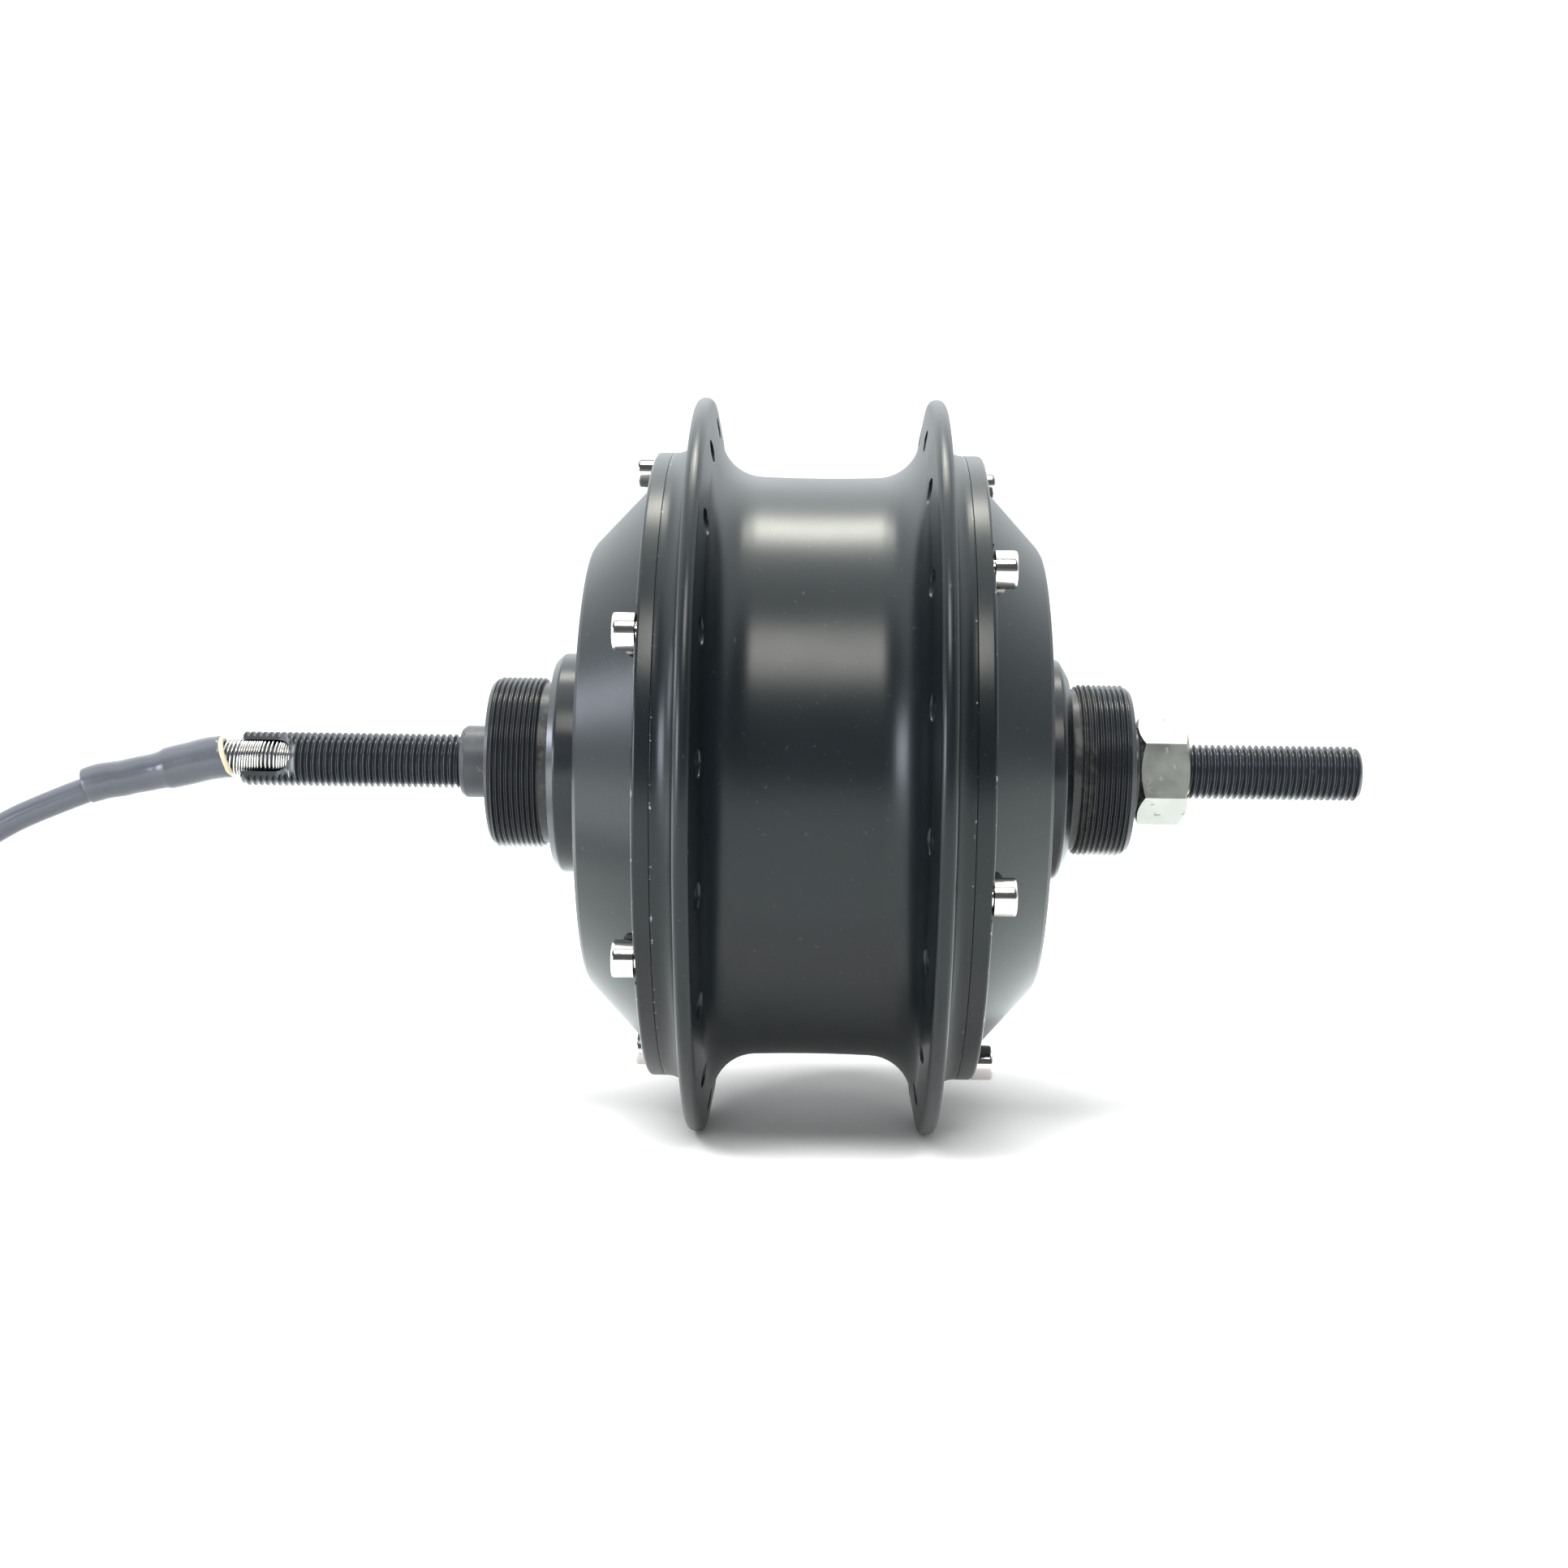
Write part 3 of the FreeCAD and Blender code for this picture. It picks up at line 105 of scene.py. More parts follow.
# ---------------------------------------------------------------- finishes
class Finish:
    """A Principled material whose textures run on the object's own coordinates, in metres."""

    def __init__(self, name, **plain):
        self.material = bpy.data.materials.new(name)
        self.material.use_nodes = True
        self.tree = self.material.node_tree
        self.shader = self.tree.nodes["Principled BSDF"]
        self.where = self.add("ShaderNodeTexCoord").outputs["Object"]
        self.normal = None
        for socket, value in plain.items():
            self.set(socket.replace("_", " "), value)

    def put(self, socket, value):
        if isinstance(value, bpy.types.NodeSocket):
            self.tree.links.new(value, socket)
        elif socket.type == "RGBA" and len(value) == 3:
            socket.default_value = (*value, 1.0)
        else:
            socket.default_value = value

    def set(self, socket, value):
        self.put(self.shader.inputs[socket], value)
        return self

    def add(self, kind, inputs=None, **settings):
        made = self.tree.nodes.new(kind)
        for key, value in settings.items():
            setattr(made, key, value)
        for key, value in (inputs or {}).items():
            self.put(made.inputs[key], value)
        return made

    def math(self, operation, a, b=0.0):
        return self.add("ShaderNodeMath", {0: a, 1: b}, operation=operation).outputs[0]

    def times(self, a, b):
        return self.math("MULTIPLY", a, b)

    def plus(self, a, b):
        return self.math("ADD", a, b)

    def most(self, a, b):
        return self.math("MAXIMUM", a, b)

    def stretched(self, scale):
        return self.add("ShaderNodeMapping", {"Vector": self.where, "Scale": scale}).outputs[0]

    def noise(self, scale, detail=2.0, roughness=0.5, stretch=None, vector=None):
        source = vector or (self.stretched(stretch) if stretch else self.where)
        return self.add("ShaderNodeTexNoise", {"Vector": source, "Scale": scale,
                                               "Detail": detail,
                                               "Roughness": roughness}).outputs[0]

    def span(self, value, low, high, to_low=0.0, to_high=1.0):
        return self.add("ShaderNodeMapRange", {
            "Value": value, "From Min": low, "From Max": high, "To Min": to_low,
            "To Max": to_high}, interpolation_type="SMOOTHSTEP").outputs[0]

    def blend(self, factor, a, b):
        # a Mix node's colours are its inputs 6 and 7 and its output 2
        return self.add("ShaderNodeMix", {0: factor, 6: a, 7: b}, data_type="RGBA").outputs[2]

    def bump(self, height, distance, strength):
        inputs = {"Height": height, "Distance": distance, "Strength": strength}
        if self.normal:
            inputs["Normal"] = self.normal
        self.normal = self.add("ShaderNodeBump", inputs).outputs[0]
        return self.set("Normal", self.normal)

    def parts(self):
        """The distance from the axle's axis, the place along it, and the place across it."""
        split = self.add("ShaderNodeSeparateXYZ", {0: self.where})
        square = self.plus(self.math("POWER", split.outputs[0], 2.0),
                           self.math("POWER", split.outputs[2], 2.0))
        return self.math("SQRT", square), split.outputs[1], split.outputs[0]

    def lathe_lines(self, scale):
        """Noise that changes only outwards and along the axis, like the marks of turning."""
        out, along, _ = self.parts()
        vector = self.add("ShaderNodeCombineXYZ", {0: out, 1: along}).outputs[0]
        return self.noise(scale, 3.0, 0.6, vector=vector)

    def band(self, value, low, high, soft):
        """1 between low and high, falling to 0 over soft on each side."""
        return self.times(self.span(value, low - soft, low),
                          self.span(value, high, high + soft, 1.0, 0.0))

    def specks(self, scale, size, share):
        """Rare small spots."""
        cells = self.add("ShaderNodeTexVoronoi", {"Vector": self.where, "Scale": scale})
        some = self.span(cells.outputs["Color"], 1.0 - share, 1.0 - share + 0.01)
        return self.times(some, self.span(cells.outputs["Distance"], size * 0.6, size, 1.0, 0.0))


def paint(name, base, roughness, rims):
    """Satin black paint with a fine peel, dust and worn rims.

    A rim is (radius, lowest and highest place along the axle, gloss factor, chips)."""
    f = Finish(name, Metallic=0.0, IOR=1.38)
    tone = f.noise(22.0, 3.0)
    color = f.blend(tone, [c * 0.8 for c in base], [c * 1.25 for c in base])
    dust = f.span(f.noise(900.0, 2.0, 0.6), 0.66, 0.8, 0.0, 0.12)
    color = f.blend(dust, color, (0.18, 0.18, 0.17))
    spots = f.specks(160.0, 0.10, 0.02)
    color = f.blend(spots, color, (0.55, 0.55, 0.52))
    rough = f.span(f.noise(38.0, 4.0, 0.6), 0.3, 0.7, roughness - 0.01, roughness + 0.02)
    rough = f.plus(rough, f.times(dust, 0.4))
    out, along, _ = f.parts()
    for radius, low, high, gloss, chips in rims:
        line = f.times(f.band(out, (radius - 0.25) * MM, (radius + 0.3) * MM, 1e-4),
                       f.band(along, low * MM, high * MM, 1e-4))
        broken = f.span(f.noise(420.0, 4.0, 0.7), 0.66 - chips * 0.1, 0.7 - chips * 0.1)
        worn = f.times(line, broken)
        color = f.blend(f.times(worn, 0.6), color, (0.3, 0.3, 0.3))
        rough = f.times(rough, f.span(line, 0.0, 1.0, 1.0, gloss))
    f.set("Base Color", color).set("Roughness", rough)
    f.bump(f.noise(1300.0, 2.0, 0.5), 0.000012, 0.55)
    f.bump(f.noise(3800.0, 1.0), 0.000004, 0.5)
    return f.material


def metal(name, base, roughness, lines=0.0, stain=None, stain_share=0.0, scratches=0.0):
    """Metal with blotches, turning lines, scratches and an optional stain."""
    f = Finish(name, Metallic=1.0)
    blotch = f.noise(140.0, 4.0, 0.6)
    color = f.blend(blotch, [c * 0.86 for c in base], [min(1.0, c * 1.12) for c in base])
    if stain:
        spots = f.span(f.noise(260.0, 5.0, 0.65), 0.66 - stain_share, 0.72 - stain_share)
        color = f.blend(spots, color, stain)
        f.set("Metallic", f.span(spots, 0.0, 1.0, 1.0, 0.35))
    rough = f.span(f.noise(75.0, 4.0, 0.6), 0.3, 0.7, roughness * 0.8, roughness * 1.25)
    f.set("Base Color", color).set("Roughness", rough)
    if lines:
        f.bump(f.lathe_lines(5200.0), 0.000008, lines)
    if scratches:
        f.bump(f.noise(900.0, 4.0, 0.75, stretch=(1.0, 0.12, 2.2)), 0.00002, scratches)
    f.bump(f.noise(2600.0, 2.0), 0.000004, 0.4)
    return f.material


def moulded(name, base, roughness, grain=1800.0, depth=0.00001, vary=0.15):
    """Plastic or rubber with a fine grain, handling marks and a little dust."""
    f = Finish(name, Metallic=0.0, IOR=1.47)
    tone = f.noise(60.0, 4.0, 0.6)
    color = f.blend(tone, [c * (1 - vary) for c in base], [c * (1 + vary) for c in base])
    dust = f.span(f.noise(1400.0, 3.0, 0.7), 0.62, 0.8, 0.0, 0.25)
    color = f.blend(dust, color, [c * 0.5 + 0.16 for c in base])
    rough = f.span(f.noise(120.0, 3.0), 0.3, 0.7, roughness - 0.05, roughness + 0.07)
    f.set("Base Color", color).set("Roughness", rough)
    f.bump(f.noise(grain, 3.0, 0.6), depth, 0.6)
    return f.material


BLACK = (0.0042, 0.0066, 0.008)
SHELL_PAINT = paint("shell_paint", BLACK, 0.29, [
    (RIM, JOINT["left"] - 0.4, JOINT["left"] + 0.1, 0.8, 0.5),
    (RIM, -JOINT["right"] - 0.1, -JOINT["right"] + 0.4, 0.8, 0.5)])
COVER_PAINT = paint("cover_paint", BLACK, 0.28, [
    (RIM - 0.3, RIM_FACE["left"] - 0.25, RIM_FACE["left"] + 0.1, 0.6, 0.6),
    (RIM - 0.3, -RIM_FACE["right"] - 0.1, -RIM_FACE["right"] + 0.25, 0.6, 0.6)])


# bright bevel of each boss's collar, from its lowest to its highest place
BEVEL = {"left": (51.5, 52.85), "right": (48.85, 50.4)}
NECK = (50.3, 55.3)


def boss_finish():
    """Black-oxide steel: satin collar, bright machined bevel, dirty neck, glossy threads."""
    f = Finish("boss_oxide", Metallic=0.0, IOR=1.38)
    out, along, _ = f.parts()
    side = f.math("ABSOLUTE", along)
    left = f.math("GREATER_THAN", along, 0.0)
    right = f.math("SUBTRACT", 1.0, left)
    black = f.blend(f.noise(180.0, 4.0), (0.009, 0.0105, 0.0125), (0.015, 0.017, 0.02))
    rough = f.span(f.noise(160.0, 4.0), 0.3, 0.7, 0.22, 0.28)
    left_bevel, right_bevel = (f.band(side, low * MM, high * MM, 2e-5)
                               for low, high in BEVEL.values())
    bevel = f.plus(f.times(left_bevel, left), f.times(right_bevel, right))
    bevel = f.times(bevel, f.span(out, 19.3 * MM, 19.6 * MM))
    bare = f.blend(f.lathe_lines(2600.0), (0.07, 0.072, 0.075), (0.12, 0.123, 0.127))
    # dirty neck between the collar and the threads
    neck = f.times(f.band(side, NECK[0] * MM, NECK[1] * MM, 1e-4),
                   f.span(out, 17.0 * MM, 18.5 * MM, 1.0, 0.0))
    grime = f.times(neck, f.span(f.noise(520.0, 4.0, 0.6), 0.42, 0.75, 0.1, 0.8))
    # tip chamfer, worn to grey
    left_tip = f.times(left, f.span(side, (TIP["left"] - 0.95) * MM, (TIP["left"] - 0.75) * MM))
    right_tip = f.times(right, f.span(side, (TIP["right"] - 1.15) * MM,
                                      (TIP["right"] - 0.95) * MM))
    tip = f.most(f.times(left_tip, 0.5), f.times(right_tip, 0.3))
    tip = f.times(tip, f.span(f.noise(300.0, 4.0, 0.7), 0.25, 0.5, 0.6, 1.0))
    # worn crest of the threads
    crest = f.times(f.span(out, (BOSS_THREAD - 0.1) * MM, (BOSS_THREAD - 0.01) * MM),
                    f.span(out, (BOSS_THREAD + 0.2) * MM, (BOSS_THREAD + 0.3) * MM, 1.0, 0.0))
    crest = f.times(crest, f.span(f.noise(240.0, 5.0, 0.7), 0.5, 0.8, 0.05, 0.16))
    bright = f.most(bevel, f.most(tip, f.times(crest, 0.6)))
    color = f.blend(grime, black, (0.05, 0.047, 0.041))
    color = f.blend(bright, color, bare)
    rough = f.plus(f.plus(rough, f.times(grime, 0.4)), f.times(tip, 0.2))
    f.set("Base Color", color).set("Metallic", bright).set("Roughness", rough)
    f.bump(f.lathe_lines(4200.0), 0.000006, 0.35)
    f.bump(f.noise(1500.0, 3.0), 0.000008, 0.4)
    return f.material


def axle_finish():
    """Glossy black-oxide axle with worn thread crests and a little dirt in the roots."""
    f = Finish("axle_oxide", Metallic=0.0, IOR=1.4)
    out, along, across = f.parts()
    black = f.blend(f.noise(240.0, 4.0), (0.01, 0.012, 0.015), (0.018, 0.021, 0.026))
    rough = f.span(f.noise(220.0, 4.0), 0.3, 0.7, 0.2, 0.27)
    crest = f.span(out, (AXLE_THREAD - 0.065) * MM, (AXLE_THREAD - 0.015) * MM)
    worn = f.times(crest, f.span(f.noise(200.0, 5.0, 0.7), 0.5, 0.8, 0.03, 0.14))
    ends = f.plus(f.span(along, (AXLE_LEFT - 0.8) * MM, (AXLE_LEFT - 0.2) * MM),
                  f.span(along, (AXLE_RIGHT + 0.15) * MM, (AXLE_RIGHT + 0.5) * MM, 0.6, 0.0))
    # bare metal round the inner end of the cable's slot
    slot = SLOT_START - SLOT_END_RADIUS
    burr = f.times(f.band(along, (slot - 0.2) * MM, (slot + 1.8) * MM, 2e-4),
                   f.span(across, -4.4 * MM, -3.6 * MM, 1.0, 0.0))
    burr = f.times(burr, f.span(f.noise(500.0, 4.0), 0.35, 0.6, 0.2, 0.9))
    worn = f.most(f.most(worn, f.times(ends, 0.6)), burr)
    dirt = f.times(f.span(f.noise(700.0, 5.0, 0.7), 0.6, 0.72),
                   f.span(out, 4.9 * MM, 5.3 * MM, 0.8, 0.0))
    color = f.blend(f.times(dirt, 0.5), black, (0.12, 0.118, 0.11))
    color = f.blend(worn, color, (0.4, 0.41, 0.42))
    f.set("Base Color", color).set("Metallic", worn)
    f.set("Roughness", f.plus(rough, f.times(worn, 0.18)))
    f.bump(f.noise(2100.0, 3.0), 0.000006, 0.4)
    return f.material


# the finish of each material slot
FINISHES = {
    "shell_paint": COVER_PAINT,
    "nickel": metal("nickel", (0.74, 0.71, 0.68), 0.13, lines=0.15, stain=(0.2, 0.17, 0.13)),
    "rubber_seal": moulded("rubber_seal", (0.012, 0.012, 0.012), 0.55),
    "bearing_steel": metal("bearing_steel", (0.62, 0.62, 0.63), 0.2, lines=0.4),
    "black_steel": axle_finish(),
    "zinc_nut": metal("zinc_nut", (0.4, 0.4, 0.37), 0.34, stain=(0.2, 0.195, 0.17),
                      stain_share=0.05, scratches=0.7),
    "bright_steel": metal("bright_steel", (0.65, 0.65, 0.65), 0.25, lines=0.4),
    "laminations": metal("laminations", (0.25, 0.25, 0.26), 0.5, stain=(0.2, 0.1, 0.05),
                         stain_share=0.02),
    "copper": metal("copper", (0.75, 0.3, 0.12), 0.3, scratches=0.8),
    "cast_aluminium": metal("cast_aluminium", (0.62, 0.62, 0.63), 0.45, scratches=0.3),
    "circuit_board": moulded("circuit_board", (0.01, 0.09, 0.03), 0.35),
    "lead_insulation": moulded("lead_insulation", (0.6, 0.42, 0.03), 0.4),
    "rotor_steel": metal("rotor_steel", (0.4, 0.4, 0.41), 0.3, lines=0.6),
    "magnet": metal("magnet", (0.6, 0.6, 0.62), 0.22),
    "gear_steel": metal("gear_steel", (0.42, 0.42, 0.43), 0.32, lines=0.3,
                        stain=(0.12, 0.09, 0.05), stain_share=0.03),
    "gear_nylon": moulded("gear_nylon", (0.72, 0.68, 0.56), 0.4, vary=0.06),
    "cable_sheath": moulded("cable_sheath", (0.062, 0.067, 0.083), 0.19, grain=2600.0,
                            depth=0.000012, vary=0.08),
    "spring_steel": metal("spring_steel", (0.56, 0.55, 0.52), 0.22),
    "sleeve": moulded("sleeve", (0.062, 0.067, 0.081), 0.21, grain=700.0, depth=0.00006,
                      vary=0.22),
    "tie": moulded("tie", (0.012, 0.012, 0.013), 0.35),
    "connector_plastic": moulded("connector_plastic", (0.013, 0.013, 0.014), 0.45),
    "gold_pins": metal("gold_pins", (0.9, 0.65, 0.25), 0.2),
    "glue": moulded("glue", (0.5, 0.45, 0.3), 0.25, grain=900.0, depth=0.00006, vary=0.35),
}
FILED_STEEL = metal("filed_steel", (0.09, 0.094, 0.1), 0.4, scratches=0.9)
BOSS_OXIDE = boss_finish()


# ---------------------------------------------------------------- meshes
class Surface:
    """A closed surface made of faces between points in millimetres; equal points are one."""

    def __init__(self):
        self.at, self.points, self.faces = {}, [], []

    def vertex(self, point):
        key = tuple(round(c * 1e4) for c in point)
        if key not in self.at:
            self.at[key] = len(self.points)
            self.points.append(point)
        return self.at[key]

    def face(self, *corners):
        loop = []
        for corner in corners:
            index = self.vertex(corner)
            if index not in loop:
                loop.append(index)
        if len(loop) > 2:
            self.faces.append(loop)

    def bridge(self, rings):
        for a, b in zip(rings, rings[1:]):
            for i in range(len(a)):
                j = (i + 1) % len(a)
                self.face(a[i], a[j], b[j], b[i])
        return self

    def join(self, other):
        start = len(self.points)
        self.points += other.points
        self.faces += [[start + i for i in face] for face in other.faces]
        return self

    def moved(self, matrix):
        self.points = [tuple(matrix @ Vector(p)) for p in self.points]
        return self


def finish_mesh(mesh, angle):
    made = bmesh.new()
    made.from_mesh(mesh)
    bmesh.ops.recalc_face_normals(made, faces=made.faces)
    made.to_mesh(mesh)
    made.free()
    mesh.polygons.foreach_set("use_smooth", [True] * len(mesh.polygons))
    mesh.set_sharp_from_angle(angle=math.radians(angle))


def new_object(name, surface, material, angle=32.0):
    mesh = bpy.data.meshes.new(name)
    mesh.from_pydata([[c * MM for c in p] for p in surface.points], [], surface.faces)
    mesh.materials.append(material)
    finish_mesh(mesh, angle)
    return placed(name, mesh)


def attach(made, body, slot_name, *nodes):
    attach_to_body(made, body)
    if nodes:
        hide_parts(*nodes)
    return made


def piece(name, surface, body, slot_name, *nodes, material=None, angle=32.0, weighted=True):
    made = new_object(name, surface, material or FINISHES[slot_name], angle)
    if weighted:
        made.modifiers.new("normals", "WEIGHTED_NORMAL").keep_sharp = True
    return attach(made, body, slot_name, *nodes)


def carve(target, surface, operation="DIFFERENCE", material=None, angle=32.0):
    """Cuts the target with a closed surface; the cut faces take the given material."""
    tool = new_object("cutter", surface, material or target.data.materials[0])
    shape = target.modifiers.new("cut", "BOOLEAN")
    shape.object, shape.operation, shape.solver = tool, operation, "EXACT"
    shape.material_mode = "TRANSFER"
    target.modifiers.move(len(target.modifiers) - 1, 0)
    others = [m for m in target.modifiers if m != shape]
    shown = [m.show_viewport for m in others]
    for m in others:
        m.show_viewport = False
    whole = target.evaluated_get(bpy.context.evaluated_depsgraph_get())
    mesh = bpy.data.meshes.new_from_object(whole)
    target.modifiers.remove(shape)
    for m, state in zip(others, shown):
        m.show_viewport = state
    target.data = mesh
    finish_mesh(mesh, angle)
    bpy.data.objects.remove(tool)


def circle(radius, y, count):
    return [(radius * math.cos(math.tau * i / count), y, radius * math.sin(math.tau * i / count))
            for i in range(count)]


def rounded(corners):
    """The outline through corners (distance out, place along), some with a rounding third."""
    out, count = [], len(corners)
    for index, corner in enumerate(corners):
        if len(corner) == 2:
            out.append(corner)
            continue
        here, fillet = Vector(corner[:2]), corner[2]
        before = Vector(corners[index - 1][:2]) - here
        after = Vector(corners[(index + 1) % count][:2]) - here
        half = before.angle(after) * 0.5
        reach = min(fillet / math.tan(half), 0.92 * min(before.length, after.length))
        radius = reach * math.tan(half)
        a, b = before.normalized(), after.normalized()
        centre = here + (a + b).normalized() * (radius / math.sin(half))
        start, end = here + a * reach - centre, here + b * reach - centre
        first, last = math.atan2(start.y, start.x), math.atan2(end.y, end.x)
        sweep = (last - first + math.pi) % math.tau - math.pi
        steps = max(3, math.ceil(abs(sweep) / math.radians(9 if fillet > 1.5 else 18)))
        for k in range(steps + 1):
            angle = first + sweep * k / steps
            out.append((centre.x + radius * math.cos(angle),
                        centre.y + radius * math.sin(angle)))
    return out


def turned(corners, count, turn=1.0):
    """A closed outline turned round the axle's axis; turn=-1 mirrors it to the other side."""
    rings = [circle(r, y * turn, count) for r, y in rounded(corners)]
    return Surface().bridge(rings + rings[:1])


def column(profile, x, z, count):
    """A closed surface of (radius, place) pairs round a line along Y at x and z."""
    return Surface().bridge([[(px + x, py, pz + z) for px, py, pz in circle(radius, y, count)]
                             for radius, y in profile])


def rod(radius, ends, x, z, count):
    low, high = sorted(ends)
    return column([(0.0, low), (radius, low), (radius, high), (0.0, high)], x, z, count)


# one pitch of a worn thread: the part of the pitch, and the part of the depth
THREAD = [(0.0, 1.0), (0.055, 1.0), (0.085, 0.96), (0.24, 0.5), (0.395, 0.05), (0.44, 0.0),
          (0.5, 0.0), (0.56, 0.0), (0.605, 0.05), (0.76, 0.5), (0.915, 0.96), (0.945, 1.0)]


def thread_height(phase):
    phase %= 1.0
    knots = THREAD + [(1.0, 1.0)]
    for (t0, h0), (t1, h1) in zip(knots, knots[1:]):
        if phase <= t1:
            return h0 + (h1 - h0) * (phase - t0) / (t1 - t0)
    return 1.0


def thread_sheet(surface, crest, depth, pitch, low, high, count, limit):
    """A screw thread's surface from low to high; limit(y) is the chamfer or run-out."""
    def point(i, y):
        angle = math.tau * (i % count) / count
        r = crest - depth * (1.0 - thread_height((y - low) / pitch - i / count))
        r = min(r, limit(y))
        return (r * math.cos(angle), y, r * math.sin(angle))

    turns = int((high - low) / pitch) + 2
    columns = []
    for i in range(count + 1):
        places = [low + (turn + phase + i / count) * pitch
                  for turn in range(-1, turns) for phase, _ in THREAD]
        columns.append([point(i, min(max(y, low), high)) for y in places])
    for a, b in zip(columns, columns[1:]):
        for k in range(len(a) - 1):
            surface.face(a[k], b[k], b[k + 1], a[k + 1])
    return [point(i, low) for i in range(count)], [point(i, high) for i in range(count)]


def line(*knots):
    """A function through the given (place, value) knots."""
    def value(y):
        if y <= knots[0][0]:
            return knots[0][1]
        for (y0, v0), (y1, v1) in zip(knots, knots[1:]):
            if y <= y1:
                return v0 + (v1 - v0) * (y - y0) / (y1 - y0)
        return knots[-1][1]
    return value


# ---------------------------------------------------------------- cable
CABLE = 2.7
ON_FLOOR = (FLOOR + CABLE) * MM
# the cord's route in metres: listed points to the floor, the coil, and the tail
LEAD = [(0, .108, .0001), (0, .120, .0008), (0, .133, -.0026), (0, .147, -.0057),
        (0, .157, -.0095), (0, .1686, -.0147), (0, .186, -.027), (0, .199, -.043),
        (0, .210, -.057), (0, .222, -.0646), (.0003, .236, -.066), (.0034, .2486, -.071)]
TAIL = [(.014, .1996, ON_FLOOR), (.002, .2002, -.0694), (-.010, .2009, FLOOR * MM + .0066)]
COIL_X, COIL_Y = .026, .236
# the coil's radius and its growth in each turn, in millimetres; its angles in degrees
COIL_RADIUS, COIL_GROWTH = 26.0, 5.6
COIL_START, COIL_STEP, COIL_POINTS = 30.0, 22.5, 26
# the spline runs inside its points on the coil: its radius is this part of theirs
COIL_INSIDE = 0.981


def coil_point(step):
    swing = COIL_START + COIL_STEP * step
    out = (COIL_RADIUS + COIL_GROWTH * swing / 360.0) / COIL_INSIDE * MM
    return (COIL_X - out * math.cos(math.radians(swing)),
            COIL_Y + out * math.sin(math.radians(swing)), ON_FLOOR)


ROUTE = LEAD + [coil_point(step) for step in range(1, COIL_POINTS + 1)] + TAIL


def cable_curve(name, bevel):
    curve = bpy.data.curves.new(name, "CURVE")
    curve.dimensions, curve.resolution_u = "3D", 12
    curve.bevel_depth, curve.bevel_resolution, curve.use_fill_caps = bevel, 6, bevel > 0
    # the points' radius carries the cable's size, because the curve's box grows by it
    spline = curve.splines.new("NURBS")
    spline.points.add(len(ROUTE) - 1)
    for point, place in zip(spline.points, ROUTE):
        point.co = (*place, 1.0)
        point.radius = CABLE * MM
    spline.order_u = 3
    spline.use_endpoint_u = True
    return placed(name, curve)


def cable_line():
    """The smooth line of the cable, read from its spline, in millimetres."""
    bare = cable_curve("line", 0.0)
    mesh = bpy.data.meshes.new_from_object(
        bare.evaluated_get(bpy.context.evaluated_depsgraph_get()))
    points = [v.co / MM for v in mesh.vertices]
    bpy.data.meshes.remove(mesh)
    bpy.data.objects.remove(bare)
    return points


cable = attach(cable_curve("cable_cord", 1.0), "axle_group", "cable_sheath",
               "cable_lead", "cable_coil", "cable_tail")
cable.data.materials.append(FINISHES["cable_sheath"])
LINE = cable_line()


def on_line(y):
    """The cable's centre and direction where it first passes the given place."""
    if y <= LINE[0].y:
        return Vector((0.0, y, LINE[0].z)), Vector((0.0, 1.0, 0.0))
    for a, b in zip(LINE, LINE[1:]):
        if a.y <= y <= b.y:
            return a.lerp(b, (y - a.y) / (b.y - a.y)), (b - a).normalized()


def frame_at(y, lift=0.0):
    """The cable's centre, side, upward and forward directions at the given place."""
    centre, along = on_line(y)
    before, after = on_line(y - 1.5)[1], on_line(y + 1.5)[1]
    along = (before + along + after).normalized()
    side = Vector((1.0, 0.0, 0.0))
    up = along.cross(side).normalized() * -1.0
    return centre + Vector((0, 0, lift)), side, up, along


# the sleeve's cut end, and how far its top reaches beyond its underside
MOUTH, MOUTH_LEAN = 122.6, 0.75


def leaning(angle, y):
    """The cut end leans: its top reaches farther along the cable than its underside."""
    return MOUTH_LEAN * math.sin(angle) * max(0.0, 1.0 - (y - MOUTH) / 5.0)


def along_line(rows, crease):
    """A closed surface round the cable's line: rows of (place, shift along, radius, lift)."""
    count, rings = 96, []
    for y, shift, radius, lift in rows:
        centre, side, up, along = frame_at(y, lift)
        ring = []
        for i in range(count):
            angle = math.tau * i / count
            r = radius + crease(y, angle)
            ring.append(tuple(centre + along * (shift + leaning(angle, y))
                              + side * (r * math.cos(angle)) + up * (r * math.sin(angle))))
        rings.append(ring)
    return Surface().bridge(rings + rings[:1])


# heat-shrink sleeve: wide over the spring's end, necking down on the cable
SLEEVE_RADIUS = line((MOUTH, 4.38), (124, 4.45), (129, 4.36), (133.4, 4.34), (134.6, 4.0),
                     (136.5, 3.84), (141, 3.74), (145, 3.78), (148, 3.82), (150.4, 3.74))
SLEEVE_LIFT = line((108, 0.0), (121, 0.0), (123, 0.35), (143, 0.35), (147, 0.75), (150.4, 0.85))
SLEEVE_BORE = 2.95


def sleeve_crease(y, angle):
    """Shallow lengthwise puckers and a soft ridge where the sleeve necks down."""
    neck = math.exp(-((y - 135.4) / 2.2) ** 2)
    return (0.05 * math.sin(3 * angle + y * 0.23) * math.sin(y * 0.61)
            + 0.09 * neck * math.sin(2 * angle + 0.8)
            + 0.03 * math.sin(7 * angle + 1.3) * math.exp(-((y - 149) / 2.0) ** 2))


